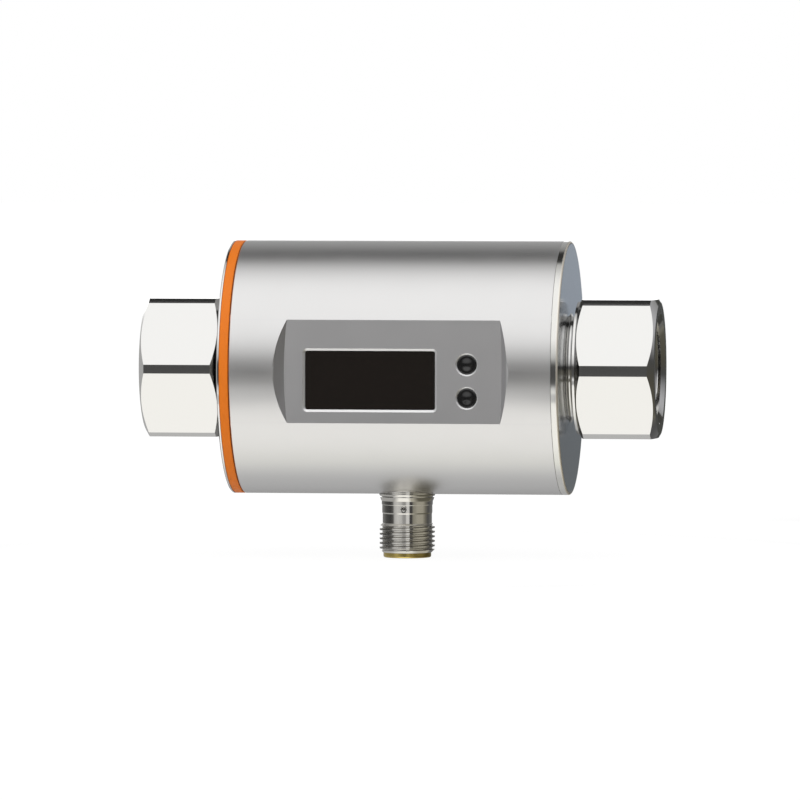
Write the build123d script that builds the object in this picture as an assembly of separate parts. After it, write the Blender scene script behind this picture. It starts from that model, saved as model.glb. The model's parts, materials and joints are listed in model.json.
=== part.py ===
from build123d import *
import math
import os

# Magnetic flow sensor with a local display and a four-pin plug.
# Millimetres. X runs along the flow, the display looks along -Y and the plug points along -Z.
# The origin lies on the flow axis, half way between the ends of the two threaded fittings.

# Housing
HOUSING_DIAMETER = 55.0
HOUSING_LENGTH = 73.7
HOUSING_WALL = 3.5
EDGE_BREAK = 0.2

# Closed joints and fits
SEAM = 0.02
SLIDE_FIT = 0.03
RUNNING_FIT = 0.05
BOARD_FIT = 0.1

# Inlet cap with its coloured ring
CAP_RIM = 0.5
RING_WIDTH = 1.95
RING_DEPTH = 2.1
RING_GAP = 0.15
RING_CHAMFER = 0.15
CAP_SPIGOT_LENGTH = 3.5

# Outlet end plate
PLATE_THICKNESS = 1.5
PLATE_EDGE_RADIUS = 0.4
PLATE_LIP_LENGTH = 2.0
LIP_WALL = 2.5

# Threaded fittings
HEX_ACROSS_FLATS = 30.0
INLET_CORNER_DIAMETER = 33.6
OUTLET_CORNER_DIAMETER = 33.4
HEX_END_DIAMETER = 28.8
HEX_CHAMFER_ANGLE = 30.0
HEX_LENGTH = 17.25
WASHER_FACE = 0.5
INLET_NECK = 1.15
OUTLET_NECK = 1.65
NECK_DIAMETER = 22.4
PIPE_THREAD_DIAMETER = 20.955
PIPE_THREAD_DEPTH = 14.0
DRILL_POINT_ANGLE = 118.0
MOUTH_DIAMETER = 24.0
MOUTH_ANGLE = 60.0

# Measuring pipe
FLOW_BORE = 13.0
PIPE_WALL = 2.5
PIPE_LENGTH = 63.8
SOCKET_DEPTH = 7.0
SOCKET_END_GAP = 0.1
SOCKET_LEAD = 0.4
PIPE_O_RING_SECTION = 1.3
PIPE_O_RING_INSET = 3.4

# Electrodes
ELECTRODE_STEM_DIAMETER = 2.6
ELECTRODE_HEAD_DIAMETER = 5.0
ELECTRODE_HEAD_DEPTH = 0.8
ELECTRODE_TAIL = 0.6
SPOT_FACE_DIAMETER = 6.6
SPOT_FACE_DEPTH = 0.6
ELECTRODE_SEAL_THICKNESS = 0.8
ELECTRODE_SEAL_DIAMETER = 4.6
ELECTRODE_WASHER_THICKNESS = 0.4
ELECTRODE_WASHER_DIAMETER = 5.6
ELECTRODE_NUT_ACROSS_FLATS = 5.0
ELECTRODE_NUT_HEIGHT = 1.6

# Temperature probe
PROBE_X = 16.0
PROBE_DIAMETER = 2.6
PROBE_COLLAR_DIAMETER = 4.6
PROBE_COLLAR_THICKNESS = 0.8
PROBE_TAIL = 2.2

# Magnet system
POLE_LENGTH = 14.0
POLE_THICKNESS = 1.2
POLE_HALF_ANGLE = 55.0
CORE_DIAMETER = 8.0
BOBBIN_WALL = 0.65
BOBBIN_FLANGE_DIAMETER = 14.8
BOBBIN_FLANGE_THICKNESS = 0.7
COIL_DIAMETER = 14.2
YOKE_LENGTH = 16.0
YOKE_WALL = 1.4
YOKE_CORNER_RADIUS = 3.0
YOKE_SIDE_GAP = 0.5
YOKE_HOUSING_GAP = 2.8
LEAD_HOLE_DIAMETER = 4.0
LEAD_SLOT_WIDTH = 1.6
YOKE_SCREW_DIAMETER = 3.0
YOKE_SCREW_FLOOR = 2.9
YOKE_SCREW_HEAD_DIAMETER = 5.5
YOKE_SCREW_HEAD_HEIGHT = 1.4
SCREW_TIP_ROOM = 0.5

# Display flat milled into the housing
FLAT_WIDTH = 22.2
FLAT_LENGTH = 47.0
FLAT_X = 0.8
FLAT_LEFT_RUN = 2.15
FLAT_RIGHT_RUN = 1.4
FLAT_LEFT_RADIUS = 100.0
FLAT_RIGHT_RADIUS = 200.0
RAMP_EDGE_RADIUS = 0.8

# Window
WINDOW_LENGTH = 28.1
WINDOW_HEIGHT = 12.65
WINDOW_X = -4.15
WINDOW_Z = -1.86
WINDOW_CORNER = 0.5
WINDOW_BEVEL = 0.5
LENS_MARGIN = 1.2
LENS_FLANGE = 1.0
GASKET_THICKNESS = 0.4

# Push buttons and their switches
BUTTON_HOLE_DIAMETER = 4.3
BUTTON_BEVEL = 0.3
BUTTON_X = 16.8
UPPER_BUTTON_Z = 1.59
BUTTON_SPACING = 7.19
BUTTON_TRAVEL = 0.3
BUTTON_SINK = 0.05
BUTTON_DOME = 0.4
BUTTON_LAND = 0.26
BUTTON_O_RING_SECTION = 0.46
BUTTON_FLANGE_DIAMETER = 5.8
BUTTON_FLANGE_THICKNESS = 0.8
BUTTON_STEM_DIAMETER = 2.4
STOP_GAP = 0.1
SWITCH_SIZE = 6.0
SWITCH_FLOOR = 0.3
SWITCH_BEVEL = 0.3
PLUNGER_DIAMETER = 2.0
GUIDE_LIP = 0.5

# Display carrier, module and board
CARRIER_LENGTH = 50.0
CARRIER_HEIGHT = 25.0
MODULE_LENGTH = 26.4
MODULE_HEIGHT = 11.0
MODULE_THICKNESS = 2.6
BOARD_THICKNESS = 1.2
DISPLAY_BOARD_HEIGHT = 21.0
BOARD_CORNER = 1.0
BOARD_SCREW_DIAMETER = 2.0
BOARD_SCREW_HEAD_DIAMETER = 3.6
BOARD_SCREW_HEAD_HEIGHT = 1.1
BOARD_SCREW_GRIP = 2.0
BOARD_SCREW_INSET = 2.2
BOARD_SCREW_ROW = 16.0

# Main board
MAIN_BOARD_HEIGHT = 24.0
MAIN_BOARD_END_GAP = 3.0
MAIN_BOARD_HOUSING_GAP = 0.5
SPACER_DIAMETER = 3.5
SPACER_PITCH_X = 12.0
SPACER_PITCH_Z = 16.0
YOKE_THREAD_GRIP = 1.0

# Packages on the main board
PROCESSOR_SIDE = 7.0
CONVERTER_SIDE = 5.0
DRIVER_SIDE = 5.2
REGULATOR_SIDE = 3.4
CRYSTAL_SIDE = 2.8
CHOKE_SIDE = 4.0
PACKAGE_PITCH = 6.25
PACKAGE_HEIGHT = 1.2
CHOKE_HEIGHT = 1.8

# Flat ribbons and round leads
RIBBON_THICKNESS = 0.3
RIBBON_HOUSING_GAP = 1.0
RIBBON_BEND = 5.0
DISPLAY_RIBBON_X = -14.0
DISPLAY_RIBBON_WIDTH = 8.0
PLUG_RIBBON_WIDTH = 6.0
RIBBON_LAND_Z = 4.0
LEAD_DIAMETER = 1.0
LEAD_BEND = 1.0
FRONT_LEAD_X = 12.0
FRONT_LEAD_Z = -11.0
COIL_LEAD_X = 10.5
COIL_LEAD_Z = 10.2

# Plug
PLUG_X = 0.8
PLUG_COLLAR_DIAMETER = 12.2
PLUG_BODY_DIAMETER = 11.16
PLUG_RELIEF_DIAMETER = 10.84
PLUG_THREAD_DIAMETER = 12.0
PLUG_END_DIAMETER = 10.7
PLUG_BORE = 9.6
FLARE_LENGTH = 1.8
FLARE_SAG = 0.12
PLUG_BODY_LENGTH = 2.4
PLUG_RELIEF_LENGTH = 2.1
PLUG_THREAD_LENGTH = 6.4
PLUG_STEM_DIAMETER = 11.4
PLUG_STEM_RISE = 5.0
SLEEVE_LIP = 1.1
SLEEVE_DIAMETER = 10.4
SLEEVE_BORE = 8.4
SLEEVE_EDGE_RADIUS = 0.35
SOCKET_RECESS = 7.5
CARRIER_SHOULDER = 0.9
CARRIER_FLANGE_DIAMETER = 11.0
CARRIER_FLANGE_THICKNESS = 0.9
PIN_DIAMETER = 1.0
PIN_CIRCLE = 5.5
PIN_COUNT = 4
PIN_SINK = 0.7
PIN_TAIL = 1.2
PIN_TIP_CHAMFER = 0.3
PLUG_O_RING_SECTION = 0.9
PLUG_O_RING_DROP = 2.5
KEY_WIDTH = 0.9
KEY_HEIGHT = 0.5


def chord_distance(radius, half_width):
    """Distance from the axis to a chord of that half width."""
    return math.sqrt(radius**2 - half_width**2)


# Places that follow from the sizes above
outer_radius = HOUSING_DIAMETER / 2
inner_radius = outer_radius - HOUSING_WALL
overall_length = HOUSING_LENGTH + INLET_NECK + OUTLET_NECK + 2 * (WASHER_FACE + HEX_LENGTH)
end_x = overall_length / 2
hex_x = end_x - HEX_LENGTH
housing_left = -hex_x + WASHER_FACE + INLET_NECK
housing_right = hex_x - WASHER_FACE - OUTLET_NECK
ring_left = housing_left + CAP_RIM + SEAM
ring_right = ring_left + RING_WIDTH
tube_left = ring_right + RING_GAP
tube_right = housing_right - PLATE_THICKNESS - SEAM
cap_inner_x = tube_left + CAP_SPIGOT_LENGTH
lip_inner_x = tube_right - PLATE_LIP_LENGTH
neck_radius = NECK_DIAMETER / 2

bore_radius = FLOW_BORE / 2
pipe_radius = bore_radius + PIPE_WALL
socket_radius = pipe_radius + SLIDE_FIT
pipe_end = PIPE_LENGTH / 2
socket_x = pipe_end - SOCKET_DEPTH

spot_y = pipe_radius - SPOT_FACE_DEPTH
seal_y = spot_y + SEAM
washer_y = seal_y + ELECTRODE_SEAL_THICKNESS + SEAM
nut_y = washer_y + ELECTRODE_WASHER_THICKNESS + SEAM
electrode_tip = nut_y + ELECTRODE_NUT_HEIGHT + ELECTRODE_TAIL
head_depth = bore_radius + ELECTRODE_HEAD_DEPTH

pole_inner = pipe_radius + SLIDE_FIT
pole_outer = pole_inner + POLE_THICKNESS
core_radius = CORE_DIAMETER / 2
yoke_inner_y = electrode_tip + YOKE_SIDE_GAP
yoke_outer_y = yoke_inner_y + YOKE_WALL
yoke_reach = inner_radius - YOKE_HOUSING_GAP - YOKE_CORNER_RADIUS
yoke_outer_z = YOKE_CORNER_RADIUS + chord_distance(yoke_reach, yoke_outer_y - YOKE_CORNER_RADIUS)
yoke_inner_z = yoke_outer_z - YOKE_WALL
yoke_screw_tip = pole_outer + YOKE_SCREW_FLOOR
bobbin_bottom = pole_outer + SEAM
bobbin_top = yoke_inner_z - SEAM
coil_bottom = bobbin_bottom + BOBBIN_FLANGE_THICKNESS + SEAM
coil_top = bobbin_top - BOBBIN_FLANGE_THICKNESS - SEAM
bobbin_bore = core_radius + SLIDE_FIT
bobbin_barrel = bobbin_bore + BOBBIN_WALL
coil_radius = COIL_DIAMETER / 2

flat_y = -chord_distance(outer_radius, FLAT_WIDTH / 2)
flat_left = FLAT_X - FLAT_LENGTH / 2
flat_right = FLAT_X + FLAT_LENGTH / 2
lower_button_z = UPPER_BUTTON_Z - BUTTON_SPACING
window_reach = abs(WINDOW_Z) + WINDOW_HEIGHT / 2 + LENS_MARGIN
button_reach = abs(lower_button_z) + BUTTON_FLANGE_DIAMETER / 2
panel_y = GASKET_THICKNESS - chord_distance(inner_radius, max(window_reach, button_reach))
lens_back_y = panel_y + LENS_FLANGE
display_board_y = lens_back_y + SEAM + MODULE_THICKNESS + SEAM
display_board_back = display_board_y + BOARD_THICKNESS
button_hole_radius = BUTTON_HOLE_DIAMETER / 2
button_radius = button_hole_radius - RUNNING_FIT
flange_back_y = panel_y + BUTTON_FLANGE_THICKNESS
guide_lip_y = flange_back_y + BUTTON_TRAVEL + STOP_GAP
switch_top_y = guide_lip_y + GUIDE_LIP + STOP_GAP
button_groove_y = flat_y + BUTTON_SINK + BUTTON_DOME + BUTTON_LAND
board_screw_radius = BOARD_SCREW_DIAMETER / 2

main_board_back = chord_distance(inner_radius - MAIN_BOARD_HOUSING_GAP, MAIN_BOARD_HEIGHT / 2)
main_board_y = main_board_back - BOARD_THICKNESS
main_board_left = cap_inner_x + MAIN_BOARD_END_GAP
main_board_right = lip_inner_x - MAIN_BOARD_END_GAP
ribbon_reach = inner_radius - RIBBON_HOUSING_GAP
display_ribbon_y = display_board_back + SEAM + RIBBON_THICKNESS / 2
main_ribbon_y = main_board_y - SEAM - RIBBON_THICKNESS / 2

flare_top_z = -outer_radius
flare_end_z = flare_top_z - FLARE_LENGTH
body_end_z = flare_end_z - PLUG_BODY_LENGTH
plug_thread_z = body_end_z - PLUG_RELIEF_LENGTH
shell_end_z = plug_thread_z - PLUG_THREAD_LENGTH
sleeve_end_z = shell_end_z - SLEEVE_LIP
stem_top_z = flare_top_z + PLUG_STEM_RISE
recess_floor_z = sleeve_end_z + SOCKET_RECESS
sleeve_top_z = recess_floor_z + CARRIER_SHOULDER
carrier_top_z = stem_top_z + SEAM + CARRIER_FLANGE_THICKNESS
plug_ribbon_z = carrier_top_z + SEAM + RIBBON_THICKNESS / 2
stem_radius = PLUG_STEM_DIAMETER / 2
plug_bore_radius = PLUG_BORE / 2
carrier_radius = plug_bore_radius - SLIDE_FIT
plug_o_ring_z = flare_top_z - PLUG_O_RING_DROP


def turned_x(points):
    """Solid of revolution about the flow axis from (x, radius) points."""
    return revolve(make_face(Polyline(*points, close=True)), Axis.X, 360)


def ring_x(x0, x1, inner, outer):
    """Plain ring about the flow axis."""
    return turned_x([(x0, inner), (x1, inner), (x1, outer), (x0, outer)])


def rod_x(x0, x1, radius):
    """Plain rod on the flow axis."""
    return turned_x([(x0, 0), (x1, 0), (x1, radius), (x0, radius)])


def turned_z(points, x=0.0):
    """Solid of revolution about a vertical axis at x from (radius, z) points."""
    return Pos(x, 0, 0) * revolve(make_face(Plane.XZ * Polyline(*points, close=True)), Axis.Z, 360)


def ring_z(z0, z1, inner, outer, x=0.0):
    """Plain ring about a vertical axis at x."""
    return turned_z([(inner, z0), (outer, z0), (outer, z1), (inner, z1)], x)


def rod_z(z0, z1, radius, x=0.0):
    """Plain rod on a vertical axis at x."""
    return turned_z([(0, z0), (radius, z0), (radius, z1), (0, z1)], x)


def turned_y(points, x=0.0, z=0.0):
    """Solid of revolution about an axis along Y at (x, z) from (radius, y) points."""
    return Pos(x, 0, z) * revolve(make_face(Polyline(*points, close=True)), Axis.Y, 360)


def rod_y(y0, y1, radius, x=0.0, z=0.0):
    """Plain rod along Y."""
    return turned_y([(0, y0), (radius, y0), (radius, y1), (0, y1)], x, z)


def ring_y(y0, y1, inner, outer, x=0.0, z=0.0):
    """Plain ring about an axis along Y."""
    return turned_y([(inner, y0), (outer, y0), (outer, y1), (inner, y1)], x, z)


def front_plane(y):
    """Plane that faces the viewer of the display, with its local axes along X and Z."""
    return Plane(origin=(0, y, 0), x_dir=(1, 0, 0), z_dir=(0, -1, 0))


def plate_y(outline, y_front, y_back):
    """Outline drawn in X and Z, made solid between two depths."""
    return extrude(front_plane(y_back) * outline, amount=y_back - y_front)


def countersink_y(outline, y_front, depth):
    """Outline at the front that narrows by 45 degrees over its depth."""
    return extrude(front_plane(y_front) * outline, amount=-depth, taper=45)


def window_outline(margin):
    """Window opening grown by a margin all round."""
    width = WINDOW_LENGTH + 2 * margin
    height = WINDOW_HEIGHT + 2 * margin
    return Pos(WINDOW_X, WINDOW_Z) * RectangleRounded(width, height, WINDOW_CORNER + max(margin, 0))


def button_places():
    """X and Z of the upper and the lower button."""
    return ((BUTTON_X, UPPER_BUTTON_Z), (BUTTON_X, lower_button_z))


def ramp_cutter(centre_x, radius, run):
    """Cone round an upright line behind the display: its side is one ramp, rounded at its outer edge."""
    top_y = -outer_radius - SEAM / 4
    reach = radius + run + HOUSING_LENGTH
    profile = make_face(Polyline(
        (0, flat_y),
        (radius, flat_y),
        (radius + run, top_y),
        (reach, top_y),
        (reach, top_y - outer_radius),
        (0, top_y - outer_radius),
        close=True,
    ))
    corner = profile.vertices().sort_by_distance((radius + run, top_y, 0))[0]
    return Pos(centre_x, 0, 0) * revolve(fillet(corner, RAMP_EDGE_RADIUS), Axis.Y, 360)


def flat_cutter():
    """Cutter of the display flat, with a ramp at each end that bows outward."""
    left = ramp_cutter(flat_left + FLAT_LEFT_RADIUS, FLAT_LEFT_RADIUS, FLAT_LEFT_RUN)
    return left & ramp_cutter(flat_right - FLAT_RIGHT_RADIUS, FLAT_RIGHT_RADIUS, FLAT_RIGHT_RUN)


def make_housing_tube():
    """Turned tube with the milled flat, the window, the button holes and the plug hole."""
    tube = turned_x([
        (tube_left, inner_radius),
        (tube_right, inner_radius),
        (tube_right, outer_radius - EDGE_BREAK / 2),
        (tube_right - EDGE_BREAK / 2, outer_radius),
        (tube_left + EDGE_BREAK, outer_radius),
        (tube_left, outer_radius - EDGE_BREAK),
    ])
    tube -= flat_cutter()
    tube -= plate_y(window_outline(0), -outer_radius, 0)
    tube -= countersink_y(window_outline(WINDOW_BEVEL), flat_y, WINDOW_BEVEL)
    for x, z in button_places():
        tube -= rod_y(-outer_radius, 0, button_hole_radius, x, z)
        tube -= countersink_y(Pos(x, z) * Circle(button_hole_radius + BUTTON_BEVEL), flat_y, BUTTON_BEVEL)
    return tube - rod_z(-2 * outer_radius, 0, stem_radius + SLIDE_FIT, PLUG_X)


def make_inlet_end_cap():
    """Welded cap: thin rim, land for the coloured ring, spigot inside the tube."""
    bore = neck_radius + SEAM
    land = outer_radius - RING_DEPTH
    spigot = inner_radius - SLIDE_FIT
    return turned_x([
        (housing_left, bore),
        (housing_left, outer_radius - EDGE_BREAK),
        (housing_left + EDGE_BREAK, outer_radius),
        (housing_left + CAP_RIM, outer_radius),
        (housing_left + CAP_RIM, land),
        (tube_left - SEAM, land),
        (tube_left - SEAM, spigot),
        (cap_inner_x, spigot),
        (cap_inner_x, spigot - LIP_WALL),
        (tube_left - SEAM, spigot - LIP_WALL),
        (tube_left - SEAM, bore),
    ])


def make_inlet_ring():
    """Coloured ring, flush with the housing."""
    land = outer_radius - RING_DEPTH + SLIDE_FIT
    return turned_x([
        (ring_left, land),
        (ring_right, land),
        (ring_right, outer_radius - RING_CHAMFER),
        (ring_right - RING_CHAMFER, outer_radius),
        (ring_left + RING_CHAMFER, outer_radius),
        (ring_left, outer_radius - RING_CHAMFER),
    ])


def make_outlet_end_plate():
    """Polished end plate with a rounded edge and a centring lip."""
    seam_x = tube_right + SEAM
    spigot = inner_radius - SLIDE_FIT
    profile = make_face(Polyline(
        (housing_right, neck_radius + SEAM),
        (housing_right, outer_radius),
        (seam_x, outer_radius),
        (seam_x, spigot),
        (lip_inner_x, spigot),
        (lip_inner_x, spigot - LIP_WALL),
        (seam_x, spigot - LIP_WALL),
        (seam_x, neck_radius + SEAM),
        close=True,
    ))
    corner = profile.vertices().sort_by_distance((housing_right, outer_radius, 0))[0]
    return revolve(fillet(corner, PLATE_EDGE_RADIUS), Axis.X, 360)


def hex_prism(x0, x1):
    """Hexagonal prism on the flow axis with a corner toward the viewer."""
    outline = RegularPolygon(HEX_ACROSS_FLATS / 2, 6, major_radius=False)
    return Pos(x0, 0, 0) * extrude(Plane.YZ * outline, amount=x1 - x0)


def make_fitting(corner_diameter):
    """Hexagon with turned ends, neck, thread bore and the socket for the measuring pipe."""
    corner = corner_diameter / 2
    end = HEX_END_DIAMETER / 2
    slope = (corner - end) * math.tan(math.radians(HEX_CHAMFER_ANGLE))
    envelope = turned_x([
        (hex_x, 0),
        (hex_x, end),
        (hex_x + slope, corner),
        (end_x - slope, corner),
        (end_x, end),
        (end_x, 0),
    ])
    neck = turned_x([
        (socket_x, 0),
        (socket_x, neck_radius),
        (hex_x - WASHER_FACE, neck_radius),
        (hex_x - WASHER_FACE, end),
        (hex_x, end),
        (hex_x, 0),
    ])
    thread = PIPE_THREAD_DIAMETER / 2
    mouth = MOUTH_DIAMETER / 2
    mouth_depth = (mouth - thread) * math.tan(math.radians(90 - MOUTH_ANGLE))
    thread_x = end_x - PIPE_THREAD_DEPTH
    cone = (thread - bore_radius) / math.tan(math.radians(DRILL_POINT_ANGLE / 2))
    socket_end = pipe_end + SOCKET_END_GAP
    bore = turned_x([
        (socket_x, 0),
        (socket_x, socket_radius + SOCKET_LEAD),
        (socket_x + SOCKET_LEAD, socket_radius),
        (socket_end, socket_radius),
        (socket_end, bore_radius),
        (thread_x - cone, bore_radius),
        (thread_x, thread),
        (end_x - mouth_depth, thread),
        (end_x, mouth),
        (end_x, 0),
    ])
    return (hex_prism(hex_x, end_x) & envelope) + neck - bore


def make_outlet_fitting():
    """Fitting on the end plate."""
    return make_fitting(OUTLET_CORNER_DIAMETER)


def make_inlet_fitting():
    """Same fitting at the other end."""
    return mirror(make_fitting(INLET_CORNER_DIAMETER), about=Plane.YZ)


def o_ring_groove():
    """Depth and half width of the groove for the O-ring of the measuring pipe."""
    return pipe_radius - PIPE_O_RING_SECTION, PIPE_O_RING_SECTION / 2 + 2 * SLIDE_FIT


def make_measuring_pipe():
    """Insulating pipe with O-ring grooves, electrode seats and the probe hole."""
    pipe = ring_x(-pipe_end, pipe_end, bore_radius, pipe_radius)
    groove_radius, half_width = o_ring_groove()
    for side in (-1, 1):
        groove_x = side * (pipe_end - PIPE_O_RING_INSET)
        pipe -= ring_x(groove_x - half_width, groove_x + half_width, groove_radius, 2 * pipe_radius)
        pipe -= rod_y(0, side * (head_depth + SEAM), ELECTRODE_HEAD_DIAMETER / 2 + SLIDE_FIT)
        pipe -= rod_y(0, side * pipe_radius, ELECTRODE_STEM_DIAMETER / 2 + SLIDE_FIT)
        pipe -= rod_y(side * spot_y, side * pipe_radius, SPOT_FACE_DIAMETER / 2)
    pipe -= rod_y(0, pipe_radius, PROBE_DIAMETER / 2 + SLIDE_FIT, PROBE_X)
    return pipe - rod_y(spot_y, pipe_radius, PROBE_COLLAR_DIAMETER / 2 + SLIDE_FIT, PROBE_X)


def make_pipe_o_rings():
    """O-ring in each groove of the measuring pipe."""
    groove_radius, half_width = o_ring_groove()
    section = PIPE_O_RING_SECTION / 2 - SEAM / 2
    rings = [
        Pos(side * (pipe_end - PIPE_O_RING_INSET), 0, 0)
        * Rot(0, 90, 0)
        * Torus(groove_radius + PIPE_O_RING_SECTION / 2 + SEAM / 2, section)
        for side in (-1, 1)
    ]
    return Compound(children=rings)


def both_sides(part):
    """The part and its mirror image across the flow axis."""
    return Compound(children=[part, mirror(part, about=Plane.XZ)])


def make_measuring_electrodes():
    """Electrodes with a head that lies flush with the bore."""
    stem = rod_y(0, electrode_tip, ELECTRODE_STEM_DIAMETER / 2)
    head = rod_y(0, head_depth, ELECTRODE_HEAD_DIAMETER / 2)
    return both_sides(stem + head - rod_x(-pipe_end, pipe_end, bore_radius))


def make_electrode_seals():
    """Seal on each electrode stem, on the spot face of the pipe."""
    bore = ELECTRODE_STEM_DIAMETER / 2 + SLIDE_FIT
    return both_sides(ring_y(seal_y, seal_y + ELECTRODE_SEAL_THICKNESS, bore, ELECTRODE_SEAL_DIAMETER / 2))


def make_electrode_washers():
    """Washer between each seal and its nut."""
    bore = ELECTRODE_STEM_DIAMETER / 2 + SLIDE_FIT
    radius = ELECTRODE_WASHER_DIAMETER / 2
    return both_sides(ring_y(washer_y, washer_y + ELECTRODE_WASHER_THICKNESS, bore, radius))


def make_electrode_nuts():
    """Hexagon nut on each electrode stem."""
    outline = RegularPolygon(ELECTRODE_NUT_ACROSS_FLATS / 2, 6, major_radius=False)
    outline -= Circle(ELECTRODE_STEM_DIAMETER / 2 + SLIDE_FIT)
    return both_sides(plate_y(outline, nut_y, nut_y + ELECTRODE_NUT_HEIGHT))


def make_temperature_probe():
    """Steel probe through the pipe wall, flush with the bore, with its collar."""
    tip = spot_y + PROBE_COLLAR_THICKNESS + PROBE_TAIL
    probe = rod_y(0, tip, PROBE_DIAMETER / 2, PROBE_X)
    probe += rod_y(spot_y + SEAM, spot_y + PROBE_COLLAR_THICKNESS, PROBE_COLLAR_DIAMETER / 2, PROBE_X)
    return probe - rod_x(-pipe_end, pipe_end, bore_radius)


def make_upper_pole_shoe():
    """Curved shoe on the pipe with the coil core, tapped for the yoke screw."""
    angle = math.radians(POLE_HALF_ANGLE)
    side = 2 * pole_outer
    sector = Polyline(
        (0, 0),
        (side * math.sin(angle), side * math.cos(angle)),
        (side * math.sin(angle), side),
        (-side * math.sin(angle), side),
        (-side * math.sin(angle), side * math.cos(angle)),
        close=True,
    )
    half = POLE_LENGTH / 2
    wedge = Pos(-half, 0, 0) * extrude(Plane.YZ * make_face(sector), amount=POLE_LENGTH)
    shoe = ring_x(-half, half, pole_inner, pole_outer) & wedge
    core = rod_z(0, yoke_inner_z - SEAM, core_radius) - rod_x(-half, half, (pole_inner + pole_outer) / 2)
    screw_radius = YOKE_SCREW_DIAMETER / 2 + SLIDE_FIT
    return shoe + core - rod_z(yoke_screw_tip - SCREW_TIP_ROOM, yoke_inner_z, screw_radius)


def make_upper_coil_former():
    """Former of the coil: barrel with two flanges."""
    flange = BOBBIN_FLANGE_DIAMETER / 2
    return turned_z([
        (bobbin_bore, bobbin_bottom),
        (flange, bobbin_bottom),
        (flange, bobbin_bottom + BOBBIN_FLANGE_THICKNESS),
        (bobbin_barrel, bobbin_bottom + BOBBIN_FLANGE_THICKNESS),
        (bobbin_barrel, bobbin_top - BOBBIN_FLANGE_THICKNESS),
        (flange, bobbin_top - BOBBIN_FLANGE_THICKNESS),
        (flange, bobbin_top),
        (bobbin_bore, bobbin_top),
    ])


def make_upper_field_coil():
    """Winding on the former."""
    return ring_z(coil_bottom, coil_top, bobbin_barrel + SEAM, coil_radius)


def below(part):
    """The part turned to the lower side of the pipe."""
    return mirror(part, about=Plane.XY)


def spacer_places():
    """X and Z of the screws that hold the main board to the yoke."""
    return [(i * SPACER_PITCH_X / 2, k * SPACER_PITCH_Z / 2) for i in (-1, 1) for k in (-1, 1)]


def make_return_yoke():
    """Bent sheet frame round the magnet system, slotted in front for the electrode lead."""
    outer = RectangleRounded(2 * yoke_outer_y, 2 * yoke_outer_z, YOKE_CORNER_RADIUS)
    inner = RectangleRounded(2 * yoke_inner_y, 2 * yoke_inner_z, YOKE_CORNER_RADIUS - YOKE_WALL)
    yoke = Pos(-YOKE_LENGTH / 2, 0, 0) * extrude(Plane.YZ * (outer - inner), amount=YOKE_LENGTH)
    yoke -= rod_y(-yoke_outer_y, yoke_outer_y, LEAD_HOLE_DIAMETER / 2)
    slot = Pos(YOKE_LENGTH / 2, 0) * Rectangle(YOKE_LENGTH, LEAD_SLOT_WIDTH)
    yoke -= plate_y(slot, -yoke_outer_y, -yoke_inner_y)
    yoke -= rod_z(-yoke_outer_z, yoke_outer_z, YOKE_SCREW_DIAMETER / 2 + SLIDE_FIT)
    for x, z in spacer_places():
        yoke -= rod_y(yoke_inner_y, yoke_outer_y, board_screw_radius + SLIDE_FIT, x, z)
    return yoke


def make_yoke_screws():
    """Screw through the yoke into each pole core."""
    head = YOKE_SCREW_HEAD_DIAMETER / 2
    shank = YOKE_SCREW_DIAMETER / 2
    screw = turned_z([
        (0, yoke_screw_tip),
        (shank, yoke_screw_tip),
        (shank, yoke_outer_z + SEAM),
        (head, yoke_outer_z + SEAM),
        (head, yoke_outer_z + YOKE_SCREW_HEAD_HEIGHT - EDGE_BREAK),
        (head - EDGE_BREAK, yoke_outer_z + YOKE_SCREW_HEAD_HEIGHT),
        (0, yoke_outer_z + YOKE_SCREW_HEAD_HEIGHT),
    ])
    return Compound(children=[screw, below(screw)])


def make_display_window():
    """Dark window: the front fills the opening, the flange lies behind the wall."""
    front_y = flat_y + WINDOW_BEVEL
    lens = plate_y(window_outline(-RUNNING_FIT), front_y, panel_y)
    return lens + plate_y(window_outline(LENS_MARGIN), panel_y, lens_back_y)


def make_window_gasket():
    """Seal between the flat flange of the window and the round inside of the housing."""
    frame = plate_y(window_outline(LENS_MARGIN), -outer_radius, panel_y - SEAM)
    frame -= plate_y(window_outline(RUNNING_FIT), -outer_radius, 0)
    return frame & rod_x(-HOUSING_LENGTH, HOUSING_LENGTH, inner_radius - SLIDE_FIT)


def display_screw_places():
    """X and Z of the screws of the display board."""
    reach = CARRIER_LENGTH / 2 - BOARD_SCREW_INSET
    return [(FLAT_X + i * reach, k * BOARD_SCREW_ROW / 2) for i in (-1, 1) for k in (-1, 1)]


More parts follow.
